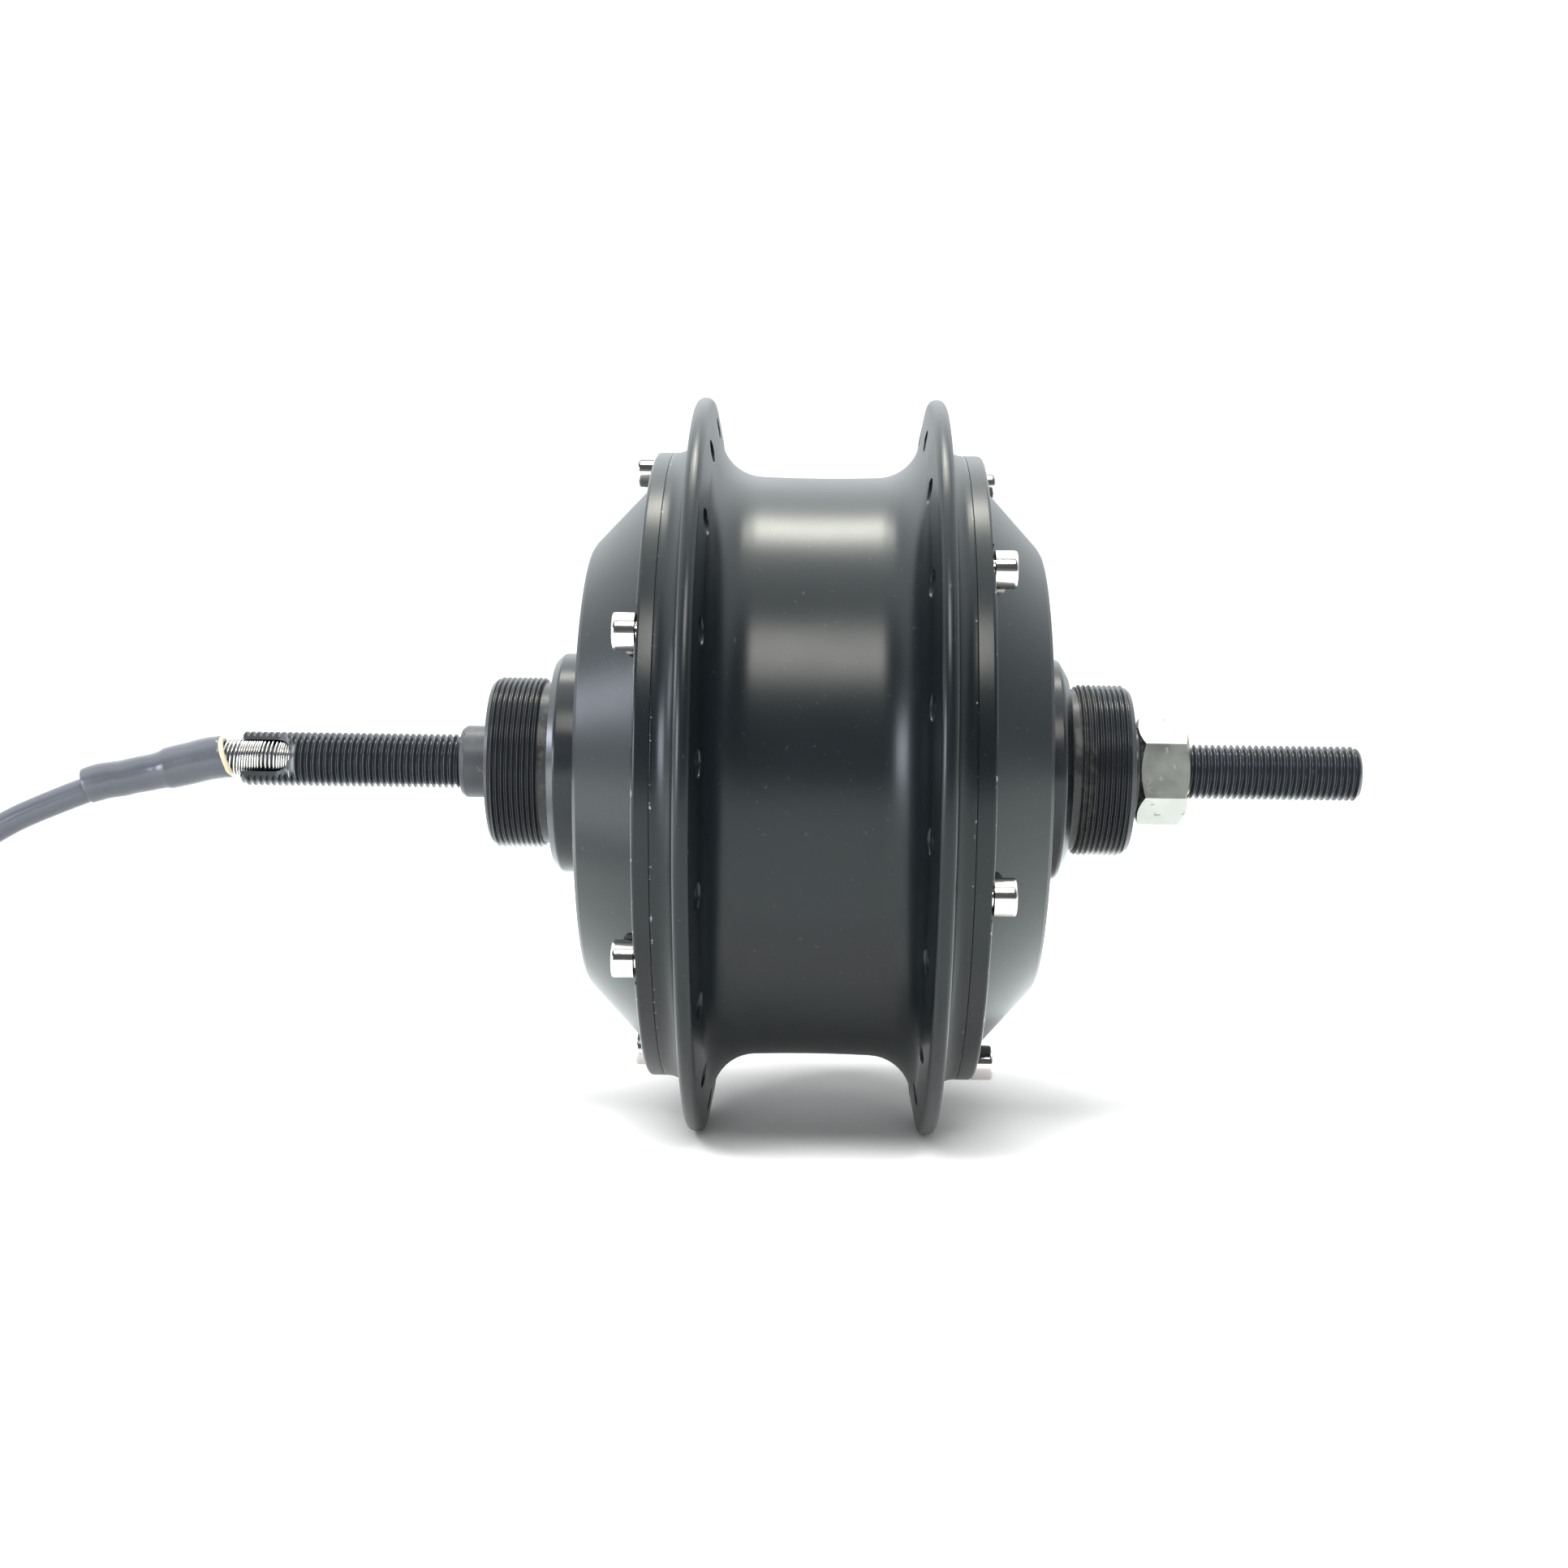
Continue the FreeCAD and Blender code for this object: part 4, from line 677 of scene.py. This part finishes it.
def sleeve():
    rows = [(MOUTH, -0.25, 3.45, 0.35), (MOUTH, -0.7, 3.9, 0.35), (MOUTH, -0.92, 4.12, 0.35),
            (MOUTH, -0.9, 4.3, 0.35), (MOUTH, -0.65, 4.42, 0.35)]
    places = [123.0 + 0.5 * k for k in range(55)]
    rows += [(y, -0.6 * max(0.0, 1.0 - (y - MOUTH) / 4.0), SLEEVE_RADIUS(y), SLEEVE_LIFT(y))
             for y in places]
    last, lift = places[-1], SLEEVE_LIFT(places[-1])
    rows += [(last, 0.25, 3.7, lift), (last, 0.42, 3.52, lift), (last, 0.4, 3.3, lift),
             (last, 0.1, 3.05, lift), (last, -2.5, SLEEVE_BORE, lift - 0.1)]
    rows += [(y, 0.0, SLEEVE_BORE, SLEEVE_LIFT(y) * 0.6) for y in reversed(places[2:-6:2])]
    return along_line(rows, sleeve_crease)


piece("heat_shrink_tube", sleeve(), "axle_group", "sleeve", "heat_shrink_sleeve", angle=50.0)


def glue_wave(_, angle):
    """The uneven edge of the glue, the same all along."""
    return 0.12 * math.sin(2 * angle + 1.0) + 0.07 * math.sin(5 * angle)


def glue_bead():
    """Hot-melt glue squeezed out at the sleeve's mouth."""
    rows = [(-1.75, 3.2, 0.3), (-1.9, 3.6, 0.3), (-1.75, 3.95, 0.32), (-1.3, 4.15, 0.34),
            (-0.75, 4.2, 0.35), (-0.3, 3.9, 0.35), (-0.2, 3.2, 0.3), (-0.8, SLEEVE_BORE, 0.3)]
    return along_line([(MOUTH, *row) for row in rows], glue_wave)


piece("glue_bead", glue_bead(), "axle_group", "glue", "sleeve_glue_ring", angle=60.0)


def wound_spring():
    """The guard's round wire, open near the sleeve and close-wound inside the axle."""
    pitches = [0.85] * 4 + [0.52] * 9 + [0.85] * 4 + [0.49] * 24
    per_turn, wire, radius, section, start = 36, 0.235, 3.6, 8, 121.9
    slope = line((112.0, 0.09), (start, 0.34))
    rings, y = [], start
    for step in range(len(pitches) * per_turn + 1):
        turn, part = divmod(step, per_turn)
        pitch = pitches[min(turn, len(pitches) - 1)]
        angle = math.tau * part / per_turn
        if step:
            y -= pitch / per_turn
        centre, side, up, along = frame_at(y)
        outward = side * math.cos(angle) + up * math.sin(angle)
        lean = along * (-slope(y) * radius * math.sin(angle))
        spot = centre + outward * radius + lean
        ring = []
        for k in range(section):
            around = math.tau * k / section
            ring.append(tuple(spot + outward * (wire * math.cos(around))
                              + along * (wire * math.sin(around))))
        rings.append(ring)
    caps = [[tuple(sum((Vector(p) for p in ring), Vector()) / section)] * section
            for ring in (rings[0], rings[-1])]
    return Surface().bridge([caps[0]] + rings + [caps[1]])


piece("spring_wire", wound_spring(), "axle_group", "spring_steel", "spring_guard", angle=80.0,
      weighted=False)


def tie_band():
    """The tie round the coil, with softened edges."""
    low, high = near("cable_tie"), far("cable_tie")
    middle = (low.x + high.x) / 2
    wall, width, corner, edge = 0.9, 2.4, 2.2, 0.2
    outline = [(low.y, low.z + 0.05), (high.y, low.z + 0.05), (high.y, high.z - 0.2),
               (low.y, high.z - 0.2)]
    path = rounded([(a, b, corner) for a, b in outline])
    centre = Vector(((low.y + high.y) / 2, (low.z + high.z) / 2))
    rings = []
    for half, inset in ((-width, 0.15), (edge - width, 0.0), (width - edge, 0.0), (width, 0.15),
                        (width, wall - 0.1), (-width, wall - 0.1)):
        ring = []
        for a, b in path:
            toward = centre - Vector((a, b))
            step = Vector((max(-1.0, min(1.0, toward.x / 2.0)),
                           max(-1.0, min(1.0, toward.y / 2.0)))) * inset
            ring.append((middle + half, a + step.x, b + step.y))
        rings.append(ring)
    return Surface().bridge(rings + rings[:1])


tie = piece("tie_band", tie_band(), "axle_group", "tie", "cable_tie")


def connector():
    """A boot with ribs, and a grip with ridges."""
    low, high = near("connector_body"), far("connector_body")
    centre_y, centre_z = (low.y + high.y) / 2, (low.z + high.z) / 2
    start, grip_end, grip, hole = high.x, low.x, 6.55, 2.75
    boot_end = start - 13.0
    ribs, rib_pitch, widening, ridges = 6, 1.9, 0.145, 16
    outline = [(hole, start), (3.5, start), (3.65, start - 0.2)]
    for k in range(ribs):
        a = start - 0.9 - k * rib_pitch
        r = 3.75 + (start - a) * widening
        outline += [(r, a), (r + 0.05, a - 0.95), (r - 0.45, a - 1.1), (r - 0.42, a - 1.7)]
    outline += [(5.6, boot_end + 0.1), (6.3, boot_end - 0.25), (grip, boot_end - 0.7),
                (grip, grip_end + 0.6), (6.3, grip_end + 0.15), (5.9, grip_end), (0.0, grip_end)]
    count, rings, stations = 96, [], []
    for (r0, a0), (r1, a1) in zip(outline, outline[1:]):
        parts = max(1, int(abs(a0 - a1)))
        stations += [(r0 + (r1 - r0) * k / parts, a0 + (a1 - a0) * k / parts)
                     for k in range(parts)]
    stations.append(outline[-1])
    for r, a in [(0.0, start - 3.0), (hole, start - 3.0)] + stations:
        ring = []
        for i in range(count):
            angle = math.tau * i / count
            deep = 0.0
            if grip_end + 1.6 < a < boot_end - 1.6 and r > 6:
                deep = 0.35 * max(0.0, math.sin(angle * ridges)) ** 0.5
            ring.append((a, centre_y + (r - deep) * math.cos(angle),
                         centre_z + (r - deep) * math.sin(angle)))
        rings.append(ring)
    return Surface().bridge(rings)


plug = piece("connector_grip", connector(), "axle_group", "connector_plastic",
             "connector_body")


# ---------------------------------------------------------------- hub shell
def polar(radius, degrees):
    """A place on a circle, the angle from the side that faces -X, up towards +Z."""
    angle = math.radians(degrees)
    return -radius * math.cos(angle), radius * math.sin(angle)


def screw_places(side):
    return [polar(SCREW_CIRCLE, SCREW_START[side] + index * 360.0 / SCREW_COUNT)
            for index in range(SCREW_COUNT)]


FLANGE, FLANGE_OUTER, FLANGE_INNER, FLANGE_ROUND = 74.17, 24.5, 21.5, 1.47
FLANGE_ROOT, ROOT_PLACE, FLANGE_SLOPE = 67.5, 20.2, 0.19
SHELL_BORE, RING_SEAT = 53.5, 51.5
BARREL, WAIST = 58.44, 0.0016


def half_shell(joint):
    """The shell's outline from its mouth to its middle."""
    profile = [(SHELL_BORE, joint, 0.3), (RIM, joint, JOINT_EDGE),
               (RIM, FLANGE_OUTER, joint - FLANGE_OUTER - 0.3),
               (FLANGE, FLANGE_OUTER, FLANGE_ROUND), (FLANGE, FLANGE_INNER, FLANGE_ROUND),
               (FLANGE_ROOT, ROOT_PLACE, 3.0), (58.92, 19.5, 9.0)]
    # the barrel is a touch waisted, which fades its highlights towards the flanges
    return profile + [(BARREL + WAIST * y * y, y) for y in (10.5, 8.5, 6.5, 4.5, 2.5, 0.8)]


def spoke_hole(side, x, z):
    """A hole through a flange, countersunk on both faces."""
    inner = ROOT_PLACE + (SPOKE_CIRCLE[side] - FLANGE_ROOT) * FLANGE_SLOPE
    return column([(radius, y * SIGN[side]) for radius, y in (
        (0.0, inner - 1.4), (2.95, inner - 1.4), (2.62, inner), (1.65, inner + 0.85),
        (1.5, inner + 1.1), (1.5, FLANGE_OUTER - 0.75), (1.62, FLANGE_OUTER - 0.55),
        (2.4, FLANGE_OUTER), (3.0, FLANGE_OUTER + 0.4), (0.0, FLANGE_OUTER + 0.4))], x, z, 40)


def shell():
    corners = half_shell(JOINT["left"])
    corners += [(r, -y, *rest) for r, y, *rest in reversed(half_shell(JOINT["right"]))]
    # the thicker stretch that holds the ring gear
    low, high = -5.9, 24.8
    corners += [(SHELL_BORE, low), (RING_SEAT, low), (RING_SEAT, high), (SHELL_BORE, high)]
    made = piece("shell_body", turned(corners, 288), "hub", "shell_paint", "hub_shell",
                 material=SHELL_PAINT)
    holes = Surface()
    tapped, bottom, mouth = 2.06, 20.4, 29.5
    for side, sign in SIGN.items():
        for index in range(SPOKE_COUNT):
            holes.join(spoke_hole(side, *polar(
                SPOKE_CIRCLE[side], SPOKE_START[side] + index * 360.0 / SPOKE_COUNT)))
        for x, z in screw_places(side):
            holes.join(rod(tapped, (bottom * sign, mouth * sign), x, z, 24))
    carve(made, holes)


shell()


# ---------------------------------------------------------------- covers
def cover(side):
    sign, face, rim, joint = SIGN[side], FACE[side], RIM_FACE[side], JOINT[side]
    # radii: the spigot that enters the shell, its o-ring's groove, and the boss's hole
    spigot, groove, inside, boss_hole, wall = 53.42, 51.8, 51.0, 21.55, 3.6
    corners = [
        (RIM, joint, JOINT_EDGE), (RIM, rim, 0.8), (57.6, rim, 0.25), (45.3, face - 0.7, 1.6),
        (44.2, face, 0.5), (boss_hole, face), (boss_hole, face - wall), (43.0, face - wall),
        (inside, 32.0), (inside, 25.0), (spigot, 25.0, 0.3), (spigot, 25.8), (groove, 25.8),
        (groove, 27.4), (spigot, 27.4), (spigot, joint)]
    made = piece(side + "_cover_body", turned(corners, 288, sign), "hub", "shell_paint",
                 side + "_cover")
    # pockets for the screws' heads, then the holes for their shanks
    for radius, low, count in ((4.7, rim - 0.35, 64), (2.1, 27.5, 24)):
        cuts = Surface()
        for x, z in screw_places(side):
            cuts.join(rod(radius, (low * sign, (face - 1.0) * sign), x, z, count))
        carve(made, cuts)


cover("left")
cover("right")


def boss(side, collar, bevel, bevel_radius, thread_start, thread_end, seat):
    """The threaded boss and its collar, with the bearing's seat behind."""
    surface, count, face, tip = Surface(), 240, FACE[side], TIP[side]
    bore, bearing, plug, collar_radius, neck, chamfer = 13.0, 17.5, 21.45, 22.43, 16.5, 16.3
    seat_end, seat_lip = seat + 10.0, 15.4
    limit = line((thread_start, BOSS_THREAD - 0.3), (thread_start + 0.4, BOSS_THREAD),
                 (thread_end, BOSS_THREAD), (tip, chamfer))
    first, last = thread_sheet(surface, BOSS_THREAD, BOSS_DEPTH, BOSS_PITCH, thread_start, tip,
                               count, limit)
    chain = rounded([
        (chamfer, tip), (bore + 0.6, tip), (bore, tip - 0.5), (bore, seat_end + 1.0),
        (seat_lip, seat_end), (bearing, seat_end), (bearing, seat), (plug, seat), (plug, face),
        (collar_radius, face, 0.35), (collar_radius, collar, 1.1), (bevel_radius, bevel, 0.12),
        (neck, bevel, 0.8), (neck, thread_start)])
    surface.bridge([last] + [circle(r, y, count) for r, y in chain] + [first])
    if SIGN[side] < 0:
        surface.moved(Matrix.Rotation(math.pi, 3, "X"))
    piece(side + "_boss_body", surface, "hub", "black_steel", side + "_boss",
          material=BOSS_OXIDE, angle=40.0)


boss("left", collar=51.4, bevel=52.9, bevel_radius=21.0, thread_start=55.4, thread_end=64.73,
     seat=37.5)
boss("right", collar=48.72, bevel=50.44, bevel_radius=19.5, thread_start=52.4, thread_end=61.8,
     seat=36.5)


# ---------------------------------------------------------------- cover screws
def hexagon(apothem, y, count, turn):
    """A hexagon drawn with as many points as a circle, so that the two can be bridged."""
    ring = []
    for i in range(count):
        angle = math.tau * i / count
        part = (angle - turn + math.pi / 6) % (math.pi / 3) - math.pi / 6
        r = apothem / math.cos(part)
        ring.append((r * math.cos(angle), y, r * math.sin(angle)))
    return ring


def screw(turn):
    """A socket-head screw along +Y, its seat at 0."""
    count = 48
    outline = [(0, -8.0), (1.9, -8.0), (2.0, -7.8), (2.0, 0.0), (3.3, 0.0), (3.5, 0.15),
               (3.5, 0.5), (3.5, 3.5), (3.49, 3.7), (3.42, 3.95), (3.27, 4.12), (3.05, 4.2),
               (1.95, 4.2)]
    socket = [(1.56, 4.05), (1.5, 3.9), (1.5, 2.2)]
    return Surface().bridge([circle(r, y, count) for r, y in outline]
                            + [hexagon(r, y, count, turn) for r, y in socket]
                            + [circle(0.0, 1.7, count)])


def cover_screws(side):
    every = Surface()
    for index, (x, z) in enumerate(screw_places(side)):
        made = screw(0.3 + index * 1.1)
        if SIGN[side] < 0:
            made.moved(Matrix.Rotation(math.pi, 3, "X"))
        every.join(made.moved(Matrix.Translation((x, RIM_FACE[side] * SIGN[side], z))))
    piece(side + "_socket_screws", every, "hub", "nickel", side + "_cover_screws", angle=40.0)


cover_screws("left")
cover_screws("right")


# ---------------------------------------------------------------- axle
def axle():
    surface, count = Surface(), 120
    spacer_end, nut_outer = far("axle_spacer").y, near("axle_nut").y
    right_limit = line((AXLE_RIGHT, 4.75), (AXLE_RIGHT + 0.85, AXLE_THREAD))
    left_limit = line((spacer_end, AXLE_CORE), (spacer_end + 1.2, AXLE_THREAD),
                      (AXLE_LEFT - 0.4, AXLE_THREAD), (AXLE_LEFT, AXLE_CORE))
    right_first, right_last = thread_sheet(surface, AXLE_THREAD, AXLE_DEPTH, AXLE_PITCH,
                                           AXLE_RIGHT, nut_outer, count, right_limit)
    left_first, left_last = thread_sheet(surface, AXLE_THREAD, AXLE_DEPTH, AXLE_PITCH,
                                         spacer_end, AXLE_LEFT, count, left_limit)
    # the hidden middle: steps for the bearings, the clutch and the stator
    middle = [(AXLE_CORE, nut_outer), (AXLE_CORE, -64.0), (7.5, -64.0), (7.5, -36.5),
              (9.0, -36.5), (9.0, -33.5), (7.5, -33.5), (7.5, -21.5), (6.0, -21.5), (6.0, 10.6),
              (8.5, 10.6), (8.5, 33.0), (10.5, 33.0), (10.5, 37.5), (7.5, 37.5), (7.5, 49.0),
              (AXLE_CORE, 49.0), (AXLE_CORE, spacer_end)]
    surface.bridge([right_last] + [circle(r, y, count) for r, y in middle] + [left_first])
    # the cable's bore, and the centre hole at the other end
    bore, bore_end = 4.25, 31.5
    surface.bridge([left_last, circle(bore, AXLE_LEFT, count), circle(bore, bore_end, count),
                    circle(0.0, bore_end, count)])
    surface.bridge([right_first, circle(1.5, AXLE_RIGHT, count),
                    circle(1.35, AXLE_RIGHT + 0.15, count), circle(0.0, AXLE_RIGHT + 2.2, count)])
    made = piece("axle_turned", surface, "axle_group", "black_steel", "axle", angle=40.0)
    carve(made, cable_slot(), material=FILED_STEEL, angle=40.0)


def cable_slot():
    """The cable's way out: a flat cut with a round inner end, turned up a little."""
    floor, round_end, half_width, middle = 2.6, SLOT_END_RADIUS, 9.0, (-6.0, 114.0)
    tilt = math.radians(14.0)
    top, past = floor + round_end + 4.0, AXLE_LEFT + 3.0
    outline = [(SLOT_START - round_end * math.sin(math.radians(a)),
                floor + round_end - round_end * math.cos(math.radians(a)))
               for a in range(0, 91, 6)]
    outline += [(SLOT_START - round_end - 0.05, top), (past, top), (past, floor)]
    ends = [[(*middle, z)] * len(outline) for z in (-half_width, half_width)]
    walls = [[(-x, y, z) for y, x in outline] for z in (-half_width, half_width)]
    tool = Surface().bridge([ends[0]] + walls + [ends[1]])
    return tool.moved(Matrix.Rotation(tilt, 3, "Y"))


axle()


def spacer():
    low, high = near("axle_spacer").y, far("axle_spacer").y
    return turned([(AXLE_HOLE, low), (7.35, low), (7.35, high - 0.9, 0.5), (6.7, high, 0.25),
                   (AXLE_HOLE, high)], 128)


def spacer_finish():
    f = Finish("spacer_oxide", Metallic=0.0, IOR=1.45)
    black = f.blend(f.noise(150.0, 4.0), (0.014, 0.016, 0.019), (0.045, 0.048, 0.053))
    dirt = f.span(f.noise(420.0, 5.0, 0.75), 0.58, 0.7, 0.0, 0.6)
    f.set("Base Color", f.blend(dirt, black, (0.16, 0.155, 0.14)))
    f.set("Roughness", f.span(dirt, 0.0, 1.0, 0.38, 0.6))
    f.bump(f.noise(1500.0, 4.0, 0.7), 0.00002, 0.5)
    return f.material


piece("spacer_ring", spacer(), "axle_group", "black_steel", "axle_spacer",
      material=spacer_finish())


def washer():
    low, high = near("axle_washer").y, far("axle_washer").y
    return turned([(AXLE_HOLE, low), (9.0, low, 0.25), (9.0, high, 0.25), (AXLE_HOLE, high)],
                  128)


piece("washer_ring", washer(), "axle_group", "black_steel", "axle_washer")


def nut():
    low, high = near("axle_nut").y, far("axle_nut").y
    count, half_flats, widest, narrow, mouth, chamfer = 120, 9.5, 11.3, 9.35, 5.9, 1.1
    point = half_flats / math.cos(math.pi / 6)
    block = Surface().bridge([[(0, low, 0)] * 6] + [
        [(point * math.cos(math.radians(30 + 60 * i)), y,
          point * math.sin(math.radians(30 + 60 * i))) for i in range(6)]
        for y in (low, high)] + [[(0, high, 0)] * 6])
    made = new_object("hex_nut", block, FINISHES["zinc_nut"])
    # chamfered corners on both faces, and the threaded hole's chamfers
    corners = [(mouth, low), (narrow, low), (widest, low + chamfer), (widest, high - chamfer),
               (narrow, high), (mouth, high), (AXLE_HOLE, high - 0.6), (AXLE_HOLE, low + 0.6)]
    rings = [circle(r, y, count) for r, y in corners]
    carve(made, Surface().bridge(rings + rings[:1]), "INTERSECT")
    soft = made.modifiers.new("edges", "BEVEL")
    soft.width, soft.segments, soft.angle_limit = 0.00022, 3, math.radians(24)
    made.modifiers.new("normals", "WEIGHTED_NORMAL").keep_sharp = True
    attach(made, "axle_group", "zinc_nut", "axle_nut")


nut()

# ---------------------------------------------------------------- carried-over nodes
slots = {s["node"]: s["material_slot"] for s in frame["record"]["subparts"]}
for name, node in frame["nodes"].items():
    for place in node.material_slots:
        place.material = FINISHES[slots[name]]
    if "oil_seal" in name:
        edge = node.modifiers.new("edges", "BEVEL")
        edge.width, edge.segments, edge.limit_method = 0.0002, 2, "ANGLE"


# ---------------------------------------------------------------- floor and light
def floor():
    size = 6000.0
    surface = Surface()
    surface.face(*((x * size, y * size, FLOOR) for x, y in ((-1, -1), (1, -1), (1, 1), (-1, 1))))
    f = Finish("floor_paper", Metallic=0.0, Roughness=0.85)
    f.set("Base Color", f.blend(f.noise(60.0, 3.0), (0.955, 0.957, 0.96), (0.975, 0.975, 0.975)))
    f.bump(f.noise(700.0, 3.0), 0.00001, 0.3)
    new_object("floor", surface, f.material)


floor()


def surroundings():
    """A white sky, brighter to the camera than it lights, and unseen in gloss."""
    world = bpy.data.worlds.new("studio")
    SCENE.world = world
    world.use_nodes = True
    nodes, links = world.node_tree.nodes, world.node_tree.links
    nodes["Background"].inputs["Color"].default_value = (1.0, 1.0, 1.0, 1.0)
    seen = nodes.new("ShaderNodeMapRange")
    seen.inputs["To Min"].default_value, seen.inputs["To Max"].default_value = 0.42, 1.3
    links.new(nodes.new("ShaderNodeLightPath").outputs["Is Camera Ray"], seen.inputs["Value"])
    links.new(seen.outputs[0], nodes["Background"].inputs["Strength"])
    world.cycles_visibility.glossy = False


surroundings()


def facing(direction):
    """The rotation of a light that shines in a direction."""
    return direction.to_track_quat("-Z", "Y").to_euler()


def softbox(name, place, target, width, height, power, color):
    """A panel that shows in gloss only."""
    light = bpy.data.lights.new(name, "AREA")
    light.shape, light.size, light.size_y = "RECTANGLE", width, height
    light.energy, light.color = power, color
    made = placed(name, light)
    made.location = place
    made.rotation_euler = facing(Vector(target) - Vector(place))
    made.visible_diffuse = False


def daylight(name, toward, energy, angle):
    """Soft light on everything but gloss: it whitens the floor and casts the pale shadow."""
    light = bpy.data.lights.new(name, "SUN")
    light.energy, light.angle = energy, math.radians(angle)
    made = placed(name, light)
    made.rotation_euler = facing(Vector(toward))
    made.visible_glossy = False


def glowing(finish, color, level):
    """Makes the finish shine without being sampled as a light."""
    glow = finish.add("ShaderNodeEmission", {"Color": color, "Strength": level})
    output = finish.tree.nodes["Material Output"].inputs["Surface"]
    finish.tree.links.new(glow.outputs[0], output)
    finish.material.cycles.emission_sampling = "NONE"
    return finish.material


def only_in_gloss(made):
    made.visible_camera = made.visible_diffuse = made.visible_shadow = False
    made.visible_transmission = made.visible_volume_scatter = False


def room():
    """A room that only shows in gloss: dim in front, brighter above and behind."""
    radius, rows, columns = 3000, 12, 24
    rings = []
    for k in range(rows + 1):
        height = math.pi * (k / rows - 0.5)
        rings.append([(radius * math.cos(height) * math.cos(math.tau * i / columns),
                       radius * math.cos(height) * math.sin(math.tau * i / columns),
                       radius * math.sin(height)) for i in range(columns)])
    f = Finish("room_glow")
    x, y, z = f.add("ShaderNodeSeparateXYZ", {0: f.where}).outputs
    front = f.span(x, -2.0, -0.6, 1.0, 0.0)
    level = f.span(y, -2.0, 2.0, 0.6, 0.8)
    level = f.plus(level, f.span(z, 0.3, 2.3, 0.0, 1.5))
    level = f.plus(level, f.span(x, 0.5, 2.5, 0.0, 0.35))
    level = f.add("ShaderNodeMix", {0: front, 2: level, 3: 0.1}).outputs[0]
    only_in_gloss(new_object("room", Surface().bridge(rings),
                             glowing(f, (0.92, 0.98, 1.0), level), 180.0))


def paper():
    """A glowing sheet just above the floor that shows only in gloss: a painted reflection of the
    floor, bright round the hub, unlit behind the camera.
    """
    surface, height, reach = Surface(), FLOOR + 1.0, 2000
    # a hole is left where the hub stands
    front, back, right, left = -75, 110, -62, 55
    for x0, x1, y0, y1 in ((-2600, front, -reach, reach), (front, back, left, reach),
                           (front, back, -reach, right), (back, reach, -reach, reach)):
        surface.face((x0, y0, height), (x1, y0, height), (x1, y1, height), (x0, y1, height))
    f = Finish("floor_reflection_glow")
    x, y, _ = f.add("ShaderNodeSeparateXYZ", {0: f.where}).outputs
    # painted reflection: dim behind the camera, bright from just in front of it onwards, brighter
    # still towards +Y
    shine = f.times(f.span(x, -0.52, -0.44, 0.15, 2.2),
                    f.span(f.noise(3.0), 0.3, 0.7, 0.95, 1.05))
    shine = f.times(shine, f.span(y, 0.12, 0.35, 1.0, 1.6))
    only_in_gloss(new_object("paper", surface, glowing(f, (0.93, 1.0, 1.0), shine)))


room()
paper()
daylight("daylight_left", (0.56, -0.45, -1.0), 3.3, 38.0)
daylight("daylight_right", (0.56, 0.14, -1.0), 2.6, 38.0)
daylight("fill", (1.0, -0.03, -0.26), 1.5, 20.0)
WARM = (1.0, 0.985, 0.88)
softbox("overhead", (0.21, 0.0, 1.08), (0, 0, 0), 0.75, 0.22, 6.2, WARM)
softbox("key", (0.21, 0.01, 1.07), (0, 0, 0), 0.13, 0.22, 1.9, WARM)
softbox("ceiling", (-0.8, 0.0, 0.73), (0, 0, 0), 0.35, 0.36, 5.8, (1.0, 0.985, 0.92))
softbox("window", (0.25, 1.5, 0.33), (0, 0, 0.02), 0.9, 0.22, 5.0, (0.82, 0.87, 1.0))
softbox("side", (-0.98, 1.14, 0.1), (0, 0, 0.02), 0.7, 0.5, 17.0, (0.84, 0.88, 1.0))
SCENE.view_settings.view_transform = "Standard"
